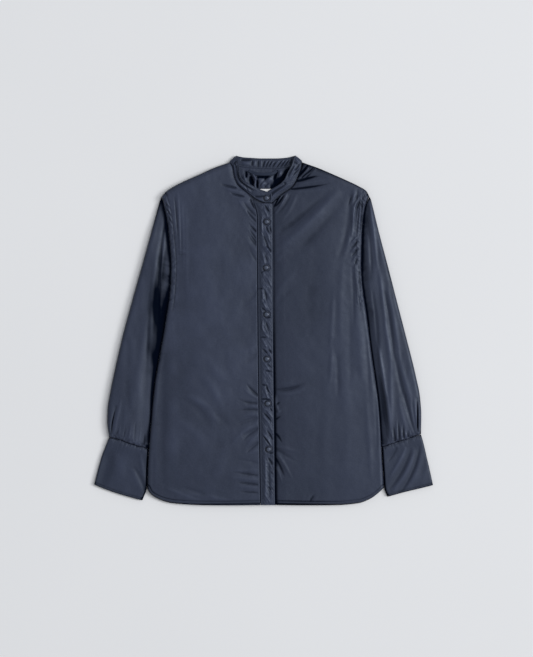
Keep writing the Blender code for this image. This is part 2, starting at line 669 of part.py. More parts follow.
def make_plackets(materials):
    """Make the placket that shows and the strip beneath it that it snaps to."""
    left = smooth_curve(PLACKET_LEFT)
    right = smooth_curve(PLACKET_RIGHT)
    make_strip(
        "front_placket", left, right, PLACKET_FLOOR, PLACKET_PUFF, materials["nylon_strip"],
    )
    under_right = right - np.array([STRIP_OVERLAP + PLAN_GAP, 0.0])
    under_right = under_right[under_right[:, 1] < under_right[0, 1] - PLAN_GAP]
    under_right = under_right[under_right[:, 1] > RIGHT_HEM[-1].y]
    under_left = under_right - np.array([UNDER_PLACKET_WIDTH, 0.0])
    make_strip(
        "under_placket", under_left, under_right, UNDER_PLACKET_FLOOR, 0.0,
        materials["nylon_strip"],
    )


# ---------------------------------------------------------------- collar


def make_collar(material):
    """Make the collar band as a wall about its middle surface."""
    rows = np.array(COLLAR_SECTIONS)
    knots = knot_places(rows)
    wide = np.diff(knots) > COLLAR_STEP
    between = (knots[:-1] + knots[1:])[wide] / 2
    sections = smooth_curve(rows, np.sort(np.concatenate([knots, between])))
    across = np.array(COLLAR_FRACTIONS)[None, :, None]
    middle = sections[:, None, :3] * (1 - across) + sections[:, None, 3:] * across
    along = np.gradient(middle, axis=0)
    over = np.gradient(middle, axis=1)
    normal = np.cross(over, along)
    normal /= np.linalg.norm(normal, axis=2)[..., None]
    outer = middle + normal * COLLAR_WALL / 2
    inner = middle - normal * COLLAR_WALL / 2
    return cloth_wall("collar_stand", outer, inner, material)


# ---------------------------------------------------------------- sleeves and cuffs


class TubeShape:
    """A flattened tube between four plan curves, outer fold first."""

    def __init__(self, outer_fold, inner_fold, start, end, edge_radius):
        self.outer_fold = outer_fold
        self.inner_fold = inner_fold
        self.start = start
        self.end = end
        self.edge_radius = edge_radius

    def plan(self, across, down):
        """Plan points for one fraction across and one down for each point."""
        rows, columns = across.shape
        grid = np.zeros((rows, columns, 2))
        for i in range(rows):
            grid[i] = patch(
                self.outer_fold, self.inner_fold, self.start, self.end,
                across[i], down[i:i + 1],
            )[0]
        return grid

    def fold_distance(self, plan):
        """Distance to the nearer folded edge."""
        outer = distance_to(plan, self.outer_fold)
        return np.minimum(outer, distance_to(plan, self.inner_fold))


def tube_rings(shape, halves, wall_of, across_top, across_under, down):
    """Work out the outer and inner rings of a flattened tube.

    A ring runs over the upper layer from the outer fold to the inner one, and back
    under the lower layer. The inner ring starts one wall inside each fold, and each of
    its layers is one wall thinner.
    """
    count = across_top.shape[1]
    across = np.concatenate([across_top, across_under], axis=1)
    is_top = np.arange(across.shape[1]) < count
    outer_plan = shape.plan(across, down)
    width = np.linalg.norm(
        shape.plan(np.zeros((len(down), 1)), down)[:, 0]
        - shape.plan(np.ones((len(down), 1)), down)[:, 0], axis=1,
    )
    middle, top_half, under_half = halves(outer_plan)
    round_off = rounded(shape.fold_distance(outer_plan), shape.edge_radius)
    outer_z = middle + np.where(is_top, top_half, -under_half) * round_off
    wall = wall_of(outer_plan)
    inset = np.minimum(wall.mean(axis=1) / width, MOST_INSET)[:, None]
    inner_across = inset + across * (1 - 2 * inset)
    inner_plan = shape.plan(inner_across, down)
    middle, top_half, under_half = halves(inner_plan)
    round_off = rounded(shape.fold_distance(inner_plan), shape.edge_radius)
    half = np.where(is_top, top_half, under_half) * round_off - wall_of(inner_plan)
    half = np.maximum(half, LEAST_HALF)
    half = np.where((across < TINY) | (across > 1 - TINY), 0.0, half)
    inner_z = middle + np.where(is_top, half, -half)
    return with_height(outer_plan, outer_z), with_height(inner_plan, inner_z)


def sleeve_across(slit_at, half_gap, width):
    """Fractions across for one sleeve row: slit, upper layer, folds, lower layer, slit."""
    gap = half_gap / width
    near = SLEEVE_EDGE_STEP / width
    far = FOLDED_EDGE_RADIUS / width
    main = np.linspace(slit_at + gap, 1.0 - far, SLEEVE_COLUMNS)
    top = np.concatenate([main, [1.0 - near, 1.0]])
    under = np.array([1.0 - near, 1.0 - far, 0.55, far, near])
    back_up = np.array([0.0, near, 0.5 * (near + slit_at - gap), slit_at - gap])
    return top, under, back_up


def make_sleeve(name, side_edge, fold_points, seam_points, slit, folds, outwards, material):
    """Make a sleeve: its first ring is the armhole seam and its last the cuff seam."""
    armhole, side = split_at_y(side_edge, UNDERARM_Y)
    armhole = shift_sideways(armhole, outwards * PLAN_GAP)
    inner_fold = shift_sideways(side, outwards * PLAN_GAP)
    outer_fold = join_curves(armhole[:1], smooth_curve(fold_points))
    seam = smooth_curve(seam_points)
    inner_fold = inner_fold[inner_fold[:, 1] > seam[-1, 1]]
    inner_fold = np.vstack([armhole[-1:], inner_fold[1:], seam[-1:]])
    shape = TubeShape(outer_fold, inner_fold, armhole, seam, FOLDED_EDGE_RADIUS)

    slit_rows = np.array(slit)
    fold_y = read_curve(outer_fold, np.linspace(0, 1, CURVE_SAMPLES))[:, 1]
    slit_down = np.interp(-slit_rows[:, 1], -fold_y, np.linspace(0, 1, CURVE_SAMPLES))
    above = np.concatenate([
        ARMHOLE_FRACTIONS,
        np.linspace(FIRST_SLEEVE_ROW, slit_down[0] - SLIT_ROW_ROOM, SLEEVE_ROWS),
    ])
    below = np.array([0.5 * (slit_down[-1] + 1.0), 1.0])
    down = np.concatenate([above, slit_down, below])
    half_gap = np.concatenate([np.zeros(len(above)), slit_rows[:, 2], np.zeros(len(below))])

    def place_of_slit(row, fraction):
        """Fraction across at which a row crosses the slit's middle line."""
        trial = np.linspace(0.02, 0.4, 60)
        points = shape.plan(trial[None, :], np.array([fraction]))[0]
        middle_x = np.interp(-points[:, 1], -slit_rows[:, 1], slit_rows[:, 0])
        return float(trial[np.argmin(np.abs(points[:, 0] - middle_x))])

    slit_at = np.array([place_of_slit(i, f) for i, f in enumerate(down)])
    slit_at[:len(above)] = slit_at[len(above)]
    slit_at[-len(below):] = slit_at[-len(below) - 1]
    ends = shape.plan(np.tile([0.0, 1.0], (len(down), 1)), down)
    width = np.linalg.norm(ends[:, 0] - ends[:, 1], axis=1)

    def layer_halves(plan):
        """Middle height, and how far each layer stands from it."""
        near_seam = np.minimum(
            rounded(distance_to(plan, armhole), AIR_REACH),
            rounded(distance_to(plan, seam), LIFT_REACH),
        )
        top = SLEEVE_HALF_SEAM + (SLEEVE_HALF_TOP - SLEEVE_HALF_SEAM) * near_seam
        under = SLEEVE_HALF_SEAM + (EDGE_MIDDLE - SLEEVE_HALF_SEAM) * near_seam
        fade = eased(np.minimum(distance_to(plan, armhole), distance_to(plan, seam)), FOLD_FADE)
        fade = fade * eased(shape.fold_distance(plan), FOLD_FADE)
        return EDGE_MIDDLE, top + fold_height(plan, folds) * fade, under

    def wall_of(plan):
        """Thickness of the sleeve's wall, pressed at both seams."""
        near_seam = np.minimum(
            rounded(distance_to(plan, armhole), WALL_REACH),
            rounded(distance_to(plan, seam), WALL_REACH),
        )
        return SEAM_WALL + (PADDED_WALL - SEAM_WALL) * near_seam

    rows = [sleeve_across(slit_at[i], half_gap[i], width[i]) for i in range(len(down))]
    top = np.array([row[0] for row in rows])
    under = np.array([row[1] for row in rows])
    back_up = np.array([row[2] for row in rows])
    outer, inner = sleeve_rings(shape, layer_halves, wall_of, top, under, back_up, down)
    closed = half_gap < TINY
    return cloth_wall(name, outer, inner, material, closed)


def sleeve_rings(shape, halves, wall_of, top, under, back_up, down):
    """Rings of a sleeve that start and end at its slit, over, under and up again."""
    first_outer, first_inner = tube_rings(shape, halves, wall_of, top, under, down)
    last_outer, last_inner = tube_rings(
        shape, halves, wall_of, back_up, np.zeros((len(down), 0)), down,
    )
    outer = np.concatenate([first_outer, last_outer], axis=1)
    inner = np.concatenate([first_inner, last_inner], axis=1)
    return outer, inner


def make_cuff(name, outer_points, inner_points, seam_points, hem_points, folds, material):
    """Make a cuff: a flattened, flared tube from the sleeve's seam to its hem."""
    seam = smooth_curve(seam_points) + np.array([0.0, -PLAN_GAP])
    hem = smooth_curve(hem_points)
    outer_fold = smooth_curve(outer_points)
    inner_fold = smooth_curve(inner_points)
    seam[0] = outer_fold[0]
    seam[-1] = inner_fold[0]
    shape = TubeShape(outer_fold, inner_fold, seam, hem, CUFF_EDGE_RADIUS)
    down = spaced_fractions(curve_length(outer_fold), CUFF_ROWS)

    def layer_halves(plan):
        """Middle height, and how far each layer stands from it."""
        from_seam = distance_to(plan, seam)
        above = 1 - eased(from_seam, CUFF_LEVEL_FADE)
        middle = CUFF_MIDDLE + (EDGE_MIDDLE - CUFF_MIDDLE) * above
        open_up = rounded(from_seam, WALL_REACH)
        top = SLEEVE_HALF_SEAM + (CUFF_HALF_TOP - SLEEVE_HALF_SEAM) * open_up
        under = SLEEVE_HALF_SEAM + (middle - SLEEVE_HALF_SEAM) * open_up
        fade = eased(np.minimum(from_seam, distance_to(plan, hem)), FOLD_FADE)
        fade = fade * eased(shape.fold_distance(plan), FOLD_FADE)
        return middle, top + fold_height(plan, folds) * fade, under

    def wall_of(plan):
        """Thickness of the cuff's wall, pressed at its seam."""
        near_seam = rounded(distance_to(plan, seam), WALL_REACH)
        return SEAM_WALL + (STRIP_WALL - SEAM_WALL) * near_seam

    ends = shape.plan(np.tile([0.0, 1.0], (len(down), 1)), down)
    width = np.linalg.norm(ends[:, 0] - ends[:, 1], axis=1)
    top = []
    under = []
    for size in width:
        near, far = np.array(CUFF_EDGE_STEPS) / size
        middle = np.linspace(far, 1 - far, CUFF_COLUMNS)
        top.append(np.concatenate([[0.0, near], middle, [1 - near, 1.0]]))
        under.append(np.array([1 - near, 1 - far, 0.5, far, near, 0.0]))
    outer, inner = tube_rings(
        shape, layer_halves, wall_of, np.array(top), np.array(under), down,
    )
    return cloth_wall(name, outer, inner, material, np.ones(len(down), bool))


# ---------------------------------------------------------------- trim


def make_snap(name, snap, floor, material):
    """Make a snap cap: a low dome on a short rim."""
    profile = [(SNAP_RADIUS, 0.0), (SNAP_RADIUS, SNAP_RIM)]
    for angle in (30.0, 60.0):
        turn = np.radians(angle)
        rise = SNAP_RIM + (SNAP_HEIGHT - SNAP_RIM) * np.sin(turn)
        profile.append((SNAP_RADIUS * np.cos(turn), rise))
    turns = np.linspace(0.0, 2 * np.pi, SNAP_SIDES, endpoint=False)
    vertices = [
        (snap.x + radius * np.cos(turn), snap.y + radius * np.sin(turn), floor + rise)
        for radius, rise in profile for turn in turns
    ]
    vertices.append((snap.x, snap.y, floor + SNAP_HEIGHT))
    crown = len(vertices) - 1
    last_ring = (len(profile) - 1) * SNAP_SIDES
    faces = [tuple(range(SNAP_SIDES))[::-1]]
    for ring in range(len(profile) - 1):
        for k in range(SNAP_SIDES):
            a = ring * SNAP_SIDES + k
            b = ring * SNAP_SIDES + (k + 1) % SNAP_SIDES
            faces.append((a, b, b + SNAP_SIDES, a + SNAP_SIDES))
    for k in range(SNAP_SIDES):
        faces.append((last_ring + k, last_ring + (k + 1) % SNAP_SIDES, crown))
    return add_object(name, np.array(vertices), faces, material)


def make_snaps(material):
    """Make the snap cap on the collar band and those down the placket."""
    collar_top = COLLAR_SECTIONS[1].seam_z + COLLAR_WALL / 2 + BAND_SLOPE_ROOM
    placket_top = PLACKET_FLOOR + STRIP_WALL + PLACKET_PUFF
    for number, snap in enumerate(SNAPS, start=1):
        floor = (collar_top if number == 1 else placket_top) + SNAP_CLEARANCE
        make_snap(f"snap_cap_{number}", snap, floor, material)


def make_loop(material):
    """Make the hanger loop: a flat tape, sewn down at its two ends."""
    middle = read_curve(smooth_curve(LOOP_MIDDLE), np.linspace(0, 1, LOOP_STATIONS))
    along = np.gradient(middle[:, :2], axis=0)
    along /= np.linalg.norm(along, axis=1)[:, None]
    side = np.stack([-along[:, 1], along[:, 0], np.zeros(len(along))], axis=-1)
    across = np.linspace(-0.5, 0.5, 3)[None, :, None]
    lower = middle[:, None, :] + across * LOOP_WIDTH * side[:, None, :]
    upper = lower + np.array([0.0, 0.0, TAPE_WALL])
    return cloth_wall("hanger_loop", upper, lower, material)


def make_label(material):
    """Make the blank neck label, flat on the inside of the back."""
    x, y = np.meshgrid([LABEL_LEFT, LABEL_RIGHT], [LABEL_TOP, LABEL_TOP - LABEL_HEIGHT])
    lower = np.stack([x, y, np.full(x.shape, PADDED_WALL + SEAM_GAP)], axis=-1)
    upper = lower + np.array([0.0, 0.0, LABEL_WALL])
    return cloth_wall("neck_label", upper, lower, material)


def make_materials():
    """Make the garment's surfaces."""
    return {
        "padded_nylon": make_material("padded_nylon", NAVY, 0.45),
        "nylon_strip": make_material("nylon_strip", NAVY, 0.42),
        "tape": make_material("tape", DEEP_NAVY, 0.6),
        "snap": make_material("snap", SNAP_NAVY, 0.35, 0.6),
        "label": make_material("label", LABEL_WHITE, 0.7),
    }


def main():
    """Clear the scene and make every piece."""
    for old in list(bpy.data.objects):
        bpy.data.objects.remove(old, do_unlink=True)
    materials = make_materials()
    body = make_body(materials)
    make_plackets(materials)
    make_collar(materials["nylon_strip"])
    make_sleeve(
        "sleeve_right", body.right_edge, RIGHT_SLEEVE_FOLD, RIGHT_CUFF_SEAM, RIGHT_SLIT,
        RIGHT_SLEEVE_FOLDS, -1.0, materials["padded_nylon"],
    )
    make_sleeve(
        "sleeve_left", body.left_edge, LEFT_SLEEVE_FOLD, LEFT_CUFF_SEAM, LEFT_SLIT,
        LEFT_SLEEVE_FOLDS, 1.0, materials["padded_nylon"],
    )
    make_cuff(
        "cuff_right", RIGHT_CUFF_OUTER, RIGHT_CUFF_INNER, RIGHT_CUFF_SEAM, RIGHT_CUFF_HEM,
        RIGHT_CUFF_FOLDS, materials["nylon_strip"],
    )
    make_cuff(
        "cuff_left", LEFT_CUFF_OUTER, LEFT_CUFF_INNER, LEFT_CUFF_SEAM, LEFT_CUFF_HEM,
        LEFT_CUFF_FOLDS, materials["nylon_strip"],
    )
    make_snaps(materials["snap"])
    make_loop(materials["tape"])
    make_label(materials["label"])


main()
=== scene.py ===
"""Looks of a padded overshirt that lies flat on a pale floor with its fronts up.

Sizes are in millimetres until they reach a mesh. X runs to the right of someone who
looks down at the fronts, Y runs towards the collar and Z runs up from the floor. Right
and left in a piece's name are the wearer's, so a right piece lies at negative X.

Each cloth piece is a closed wall between an outer and an inner grid of points. A front
or back is a height above the plan, a sleeve or cuff a flattened tube, and the collar a
band carried round the neck. Heights are a plain form plus listed folds, puckers along
the seams and the press of the stitching.
"""

import json
import logging
import math
from dataclasses import dataclass, field
from enum import Enum
from typing import Callable, NamedTuple, Optional

import bpy
import numpy as np
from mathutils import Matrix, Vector
from numpy.typing import NDArray

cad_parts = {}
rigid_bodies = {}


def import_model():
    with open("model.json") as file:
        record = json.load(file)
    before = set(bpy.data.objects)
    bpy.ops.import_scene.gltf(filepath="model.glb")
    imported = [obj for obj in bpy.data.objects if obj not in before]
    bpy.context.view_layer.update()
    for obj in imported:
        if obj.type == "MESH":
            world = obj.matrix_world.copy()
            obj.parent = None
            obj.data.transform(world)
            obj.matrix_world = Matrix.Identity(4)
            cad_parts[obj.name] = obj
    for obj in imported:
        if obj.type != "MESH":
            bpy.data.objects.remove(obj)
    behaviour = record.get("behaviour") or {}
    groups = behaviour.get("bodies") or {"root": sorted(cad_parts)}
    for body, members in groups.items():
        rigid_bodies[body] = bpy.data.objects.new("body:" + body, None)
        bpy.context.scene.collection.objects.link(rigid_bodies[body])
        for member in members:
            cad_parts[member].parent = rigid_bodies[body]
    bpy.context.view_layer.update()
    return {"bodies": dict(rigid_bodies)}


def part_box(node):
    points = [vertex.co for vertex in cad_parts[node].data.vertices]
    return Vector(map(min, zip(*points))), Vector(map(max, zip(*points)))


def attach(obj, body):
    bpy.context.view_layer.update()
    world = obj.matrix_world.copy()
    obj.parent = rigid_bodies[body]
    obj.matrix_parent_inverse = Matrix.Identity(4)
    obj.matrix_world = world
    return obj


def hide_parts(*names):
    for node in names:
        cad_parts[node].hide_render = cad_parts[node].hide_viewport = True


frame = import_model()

Array = NDArray[np.float64]
Flags = NDArray[np.bool_]
Colour = tuple[float, float, float]
Rows = tuple[tuple[float, ...], ...]

LOG = logging.getLogger("overshirt")
BODY = next(iter(frame["bodies"]))
ON_BACK = ("back_panel_cloth",)
MM = 0.001
TINY = 1e-6
PATTERN_MAP = "cloth"
# Mesh attribute of painted light and shade: the colour is paler on ridges, darker in troughs and
# where shadow falls
PAINTED_LIGHT_ATTRIBUTE = "relief"
FULL_RELIEF = 1.5
INSIDE_PAINTED_SHADE = -0.7       # painted shade: the inside of a tube is seen in its own shadow
NARROW_FOLD = 4.5        # folds below this half width stand steeper
NARROW_GAIN = 1.35
CREASE_WIDTH = 2.75      # a narrower crease gets painted shade darker than its depth
# Painted shade in narrow creases: its share of their depth, and its most
CREASE_SHADE_SHARE = 0.65
MOST_CREASE_SHADE = 0.55
LEAST_PAINTED_TROUGH = 0.5         # painted shade: the colour counts no other trough as deeper than this
COARSE_STEP = 6          # the first search along a curve looks at one point in six
LATTICE = 97             # values along each side of a random lattice

FLOOR_CORNERS = ((-1, -1), (1, -1), (1, 1), (-1, 1))

# Walls and clearances
PADDED_WALL = 5.5
SEAM_WALL = 2.0
HEM_WALL = 3.0
STRIP_WALL = 3.0
COLLAR_WALL = 2.5
LEAST_WALL = 0.8
TAPE_WALL = 1.2
LABEL_WALL = 0.8
SEAM_GAP = 0.35
PLAN_GAP = 0.6
SLEEVE_PLAN_GAP = 0.3
NECK_RAISE = 0.85        # the back's neck edge lies this far above its outline
RIM_ROLL = 1.6           # an edge rounds off over this length
RIM_SHARE = 0.3          # share of a wall that is left at its very edge
ROLL_PLACES = (0.0, 0.12, 0.4, 1.0)               # grid lines over a rim, of its roll
TURN_PLACES = (0.02, 0.09, 0.22, 0.42, 0.68)      # the same round a tube's fold

# Heights above the floor
LEAST_CLEARANCE = 0.05
EDGE_LIFT = 3.6
EDGE_MIDDLE = EDGE_LIFT + SEAM_WALL + SEAM_GAP / 2
BODY_AIR = 2.2
CENTRE_AIR = 1.9
NECK_AIR = 0.9
LEFT_CENTRE_AIR = 0.25
UNDER_PLACKET_FLOOR = PADDED_WALL + 0.6
PLACKET_FLOOR = UNDER_PLACKET_FLOOR + STRIP_WALL + SEAM_GAP
PLACKET_PUFF = 0.65
SLEEVE_HALF_TOP = 7.8
SLEEVE_HALF_SEAM = EDGE_MIDDLE - EDGE_LIFT
CUFF_MIDDLE = HEM_WALL + 0.6
CUFF_HALF_TOP = 4.4

# Distances over which a form rounds off
LIFT_REACH = 14.0
WALL_REACH = 13.0
AIR_REACH = 22.0
SIDE_REACH = 8.0
SIDE_AIR_REACH = 13.0
HEM_REACH = 6.0
HEM_AIR_REACH = 10.0
CENTRE_REACH = 24.0
DOME_REACH = 90.0
GRADE_REACH = 20.0       # grid cells go from fine to coarse over this length
PRESSED_STRIP = 3.6
CREVICE_INSET = 4.4
CREVICE_WIDTH = 2.3
FOLD_FADE = 6.0
FRONT_FOLD_FADE = 2.5
HEM_LIFT_FADE = 50.0
OUTER_FOLD_REACH = 8.0
RIGHT_VALLEY = 42.0
LEFT_VALLEY = 17.0
CUFF_FOLD_REACH = 4.2
CUFF_LEVEL_FADE = 30.0
FOLD_SHARE_INSIDE = 0.4
SLEEVE_UNDER_SHARE = 0.8     # height of a hidden fold, of the one it mirrors
CUFF_UNDER_SHARE = 0.5
LIP_SHARE = 0.25         # share of a sleeve's rise in the first few millimetres
LIP_REACH = 4.0
SLIT_PRESS = 1.1         # how far the cloth is pressed down beside a slit
SLIT_REACH = 5.0
BACK_DENT = 1.3          # most that a lower layer is lifted off the floor, by piece
SLEEVE_DENT = 1.6
CUFF_DENT = 0.8
LEAST_HALF = 0.15
MOST_INSET = 0.3
UNDERARM_Y = 38.0
ARMHOLE_LENGTH = 246.0
COLLAR_HEIGHT = 22.0
COLLAR_RELIEF = (-0.95, 2.2)

# Stitching: how far inside an edge each row runs, and how high above the cloth
HEM_STITCH = 7.0
CUFF_HEM_STITCH = 4.6
CUFF_SEAM_STITCH = 3.0
PLACKET_STITCH = 4.0
COLLAR_STITCH = 3.4
ARMHOLE_STITCH = 11.5
SHOULDER_STITCH = 7.0
NECK_STITCH = 3.2
GROOVE_WIDTH = 1.1
THREAD_LIFT = 0.05

# Snap caps: the seat beneath one, the trench round it, its own foot, and its crown, coloured paler
# as a painted highlight
SEAT_RADIUS = 7.6
TRENCH_RADIUS = 7.3
TRENCH_WIDTH = 1.1
TRENCH_DEPTH = 1.4
CAP_SINK = 0.2
HIGHLIGHT_CROWN_RADIUS = 4.6


class Fold(NamedTuple):
    """A soft ridge (height above zero) or trough from one plan point to another.

    It is bowed sideways to the left of its own way, has a half width, and is at its
    highest at the share of its length that lead gives.
    """

    x0: float
    y0: float
    x1: float
    y1: float
    bow: float
    width: float
    height: float
    lead: float = 0.5


def make_folds(*rows: tuple[float, ...]) -> tuple[Fold, ...]:
    """Name the columns of rows of folds."""
    return tuple(Fold(*row) for row in rows)


class Held(Enum):
    LAID = "laid"


class Slot(Enum):
    """The record's material slots."""

    NYLON = "padded_nylon"
    STRIP = "nylon_strip"
    TAPE = "tape"
    SNAP = "snap"
    LABEL = "label"


# Outlines, each as (x, y) from the collar or the sleeve's top downwards
RIGHT_SHOULDER = (
    (-71.6, 352.9), (-105.6, 340.7), (-132.9, 328.1), (-161.5, 315.5), (-187.1, 302.9),
    (-206.0, 290.3), (-214.2, 280.7),
)
LEFT_SHOULDER = (
    (81.5, 352.9), (115.3, 340.7), (144.7, 328.1), (173.0, 315.5), (199.5, 302.9), (216.1, 292.4),
    (222.6, 280.7),
)
RIGHT_BODY_EDGE = (
    (-214.2, 280.7), (-210.4, 265.8), (-203.9, 235.1), (-198.5, 190.2), (-194.8, 137.0),
    (-197.0, 84.5), (-206.5, 17.3), (-219.5, -58.3), (-229.0, -115.0), (-236.3, -190.6),
    (-241.5, -255.7), (-244.0, -304.0), (-244.9, -331.3),
)
LEFT_BODY_EDGE = (
    (222.6, 280.7), (215.5, 267.2), (210.6, 244.1), (207.0, 210.5), (205.0, 139.1), (207.5, 95.0),
    (215.0, 42.5), (227.0, -50.0), (235.5, -108.7), (241.0, -150.0), (245.5, -209.5),
    (248.6, -268.3), (251.2, -304.0), (253.1, -331.1),
)
RIGHT_HEM = (
    (-244.9, -331.3), (-241.3, -339.7), (-231.6, -348.5), (-207.3, -359.0), (-184.6, -363.2),
    (-120.3, -365.9), (-60.1, -365.3), (-7.0, -364.0),
)
LEFT_HEM = (
    (253.1, -331.1), (241.9, -341.6), (223.0, -354.6), (198.7, -363.0), (151.8, -366.4),
    (97.4, -366.2), (21.9, -364.9),
)
RIGHT_NECK = (
    (-71.6, 352.9), (-65.0, 341.0), (-61.8, 326.0), (-55.2, 307.5), (-45.6, 297.0), (-35.5, 289.0),
    (-27.5, 280.0), (-21.3, 266.6),
)
LEFT_NECK = (
    (81.5, 352.9), (79.6, 340.0), (73.9, 326.7), (69.3, 314.7), (62.2, 303.4), (54.8, 296.6),
    (42.8, 289.0), (28.8, 277.3), (15.4, 266.0),
)
BACK_NECK = (
    (-71.6, 352.9), (-60.0, 347.0), (-47.7, 343.0), (-31.9, 340.5), (-2.9, 339.0), (18.1, 338.4),
    (45.1, 341.1), (62.0, 346.0), (81.5, 352.9),
)
PLACKET_LEFT = (
    (-20.6, 266.6), (-17.2, 257.5), (-14.4, 248.0), (-13.2, 236.0), (-13.0, 147.5), (-10.7, -104.5),
    (-6.5, -366.8),
)
PLACKET_RIGHT = (
    (17.6, 266.0), (18.3, 236.0), (18.6, 147.5), (20.8, -104.5), (23.9, -366.8),
)
STRIP_OVERLAP = 2.2      # how far the left front reaches in under the placket
UNDER_PLACKET_WIDTH = 27.0

RIGHT_SLEEVE_FOLD = (
    (-215.9, 278.6), (-221.1, 260.9), (-235.2, 210.5), (-256.2, 134.9), (-277.4, 59.3),
    (-297.6, -16.3), (-314.8, -91.9), (-322.6, -129.7), (-328.4, -167.5), (-329.1, -192.7),
    (-324.9, -225.2),
)
LEFT_SLEEVE_FOLD = (
    (224.6, 278.6), (229.3, 260.9), (241.5, 210.5), (261.4, 134.9), (280.8, 59.3), (300.3, -16.3),
    (319.2, -91.9), (329.1, -142.3), (331.6, -178.0), (331.0, -218.7),
)
RIGHT_CUFF_SEAM = (
    (-324.9, -225.2), (-302.6, -230.1), (-284.1, -237.2), (-267.3, -242.0), (-241.7, -248.5),
)
LEFT_CUFF_SEAM = (
    (331.0, -218.7), (314.4, -223.5), (298.2, -229.2), (282.2, -233.9), (262.1, -240.6),
    (248.1, -245.6),
)
RIGHT_CUFF_OUTER = (
    (-325.4, -226.6), (-333.9, -247.3), (-341.0, -266.2), (-350.5, -300.8), (-356.4, -324.1),
)
LEFT_CUFF_OUTER = (
    (331.2, -220.2), (336.0, -236.0), (343.6, -268.3), (351.1, -300.8), (356.4, -325.5),
)
RIGHT_CUFF_HEM = (
    (-356.4, -324.1), (-335.6, -332.7), (-303.7, -343.9), (-270.9, -353.3), (-254.9, -357.5),
)
LEFT_CUFF_HEM = (
    (356.4, -325.5), (327.6, -332.7), (299.7, -339.3), (260.4, -350.0),
)
RIGHT_CUFF_INNER = (
    (-241.8, -249.6), (-243.9, -290.0), (-245.6, -331.0), (-254.9, -357.5),
)
LEFT_CUFF_INNER = (
    (248.1, -246.8), (251.5, -300.0), (253.7, -331.5), (260.4, -350.0),
)

# Sleeve slits above the cuffs: middle line and half the gap, from the top down
RIGHT_SLIT = (
    (-310.0, -160.1, 0.0), (-314.0, -175.0, 1.4), (-317.5, -190.0, 1.9), (-319.5, -203.0, 1.4),
    (-320.0, -214.0, 0.0),
)
LEFT_SLIT = (
    (322.5, -144.0, 0.0), (323.6, -164.0, 2.2), (323.8, -184.3, 2.9), (323.9, -200.0, 2.4),
    (324.2, -213.0, 0.0),
)

# Collar band, section by section: its seam end and its free edge, middle of the wall.
# It starts at the right end, which laps over, and goes round behind the neck.
COLLAR_SECTIONS = (
    (17.3, 268.2, 11.3, 17.3, 287.0, 11.6), (2.0, 269.0, 11.3, 4.8, 291.8, 11.6),
    (-13.5, 274.6, 11.0, -6.0, 295.2, 12.0), (-25.2, 283.4, 10.2, -17.0, 300.0, 13.6),
    (-34.6, 290.6, 9.4, -27.0, 305.3, 16.2), (-44.3, 298.4, 8.8, -36.0, 310.5, 19.3),
    (-53.6, 308.6, 8.4, -44.0, 316.0, 21.8), (-59.7, 325.0, 8.3, -49.5, 325.5, 22.5),
    (-62.6, 338.5, 8.3, -50.6, 341.0, 19.0), (-66.6, 348.5, 8.2, -52.6, 355.0, 12.5),
    (-69.6, 352.6, 7.8, -55.0, 364.0, 8.4), (-70.9, 354.7, 4.6, -56.4, 366.8, 4.6),
    (-68.6, 353.5, 1.6, -54.2, 366.4, 1.6), (-59.5, 348.3, 1.3, -49.0, 365.2, 1.3),
    (-47.4, 344.1, 1.3, -42.0, 364.0, 1.3), (-31.9, 341.6, 1.3, -27.0, 363.0, 1.3),
    (-2.9, 340.1, 1.3, -2.0, 361.7, 1.3), (18.1, 339.6, 1.3, 23.5, 361.7, 1.3),
    (45.1, 342.3, 1.3, 47.5, 363.2, 1.3), (61.7, 347.3, 1.3, 57.0, 364.8, 1.3),
    (78.0, 353.7, 1.6, 63.6, 366.6, 1.6), (80.8, 355.0, 4.6, 65.9, 367.0, 4.6),
    (79.6, 352.2, 7.9, 64.2, 363.4, 8.3), (77.6, 341.0, 8.6, 58.5, 346.0, 12.5),
    (72.3, 327.2, 8.6, 50.0, 330.5, 14.0), (67.6, 315.4, 8.5, 43.5, 316.5, 13.5),
    (60.7, 304.6, 8.4, 36.5, 309.0, 12.5), (53.6, 298.2, 8.3, 29.5, 304.0, 11.5),
    (41.9, 290.5, 8.2, 20.5, 298.8, 10.0), (28.2, 278.9, 8.0, 11.0, 293.6, 8.6),
    (16.6, 268.0, 7.9, 2.5, 286.5, 8.1), (2.0, 266.4, 7.9, -7.5, 285.5, 8.0),
)

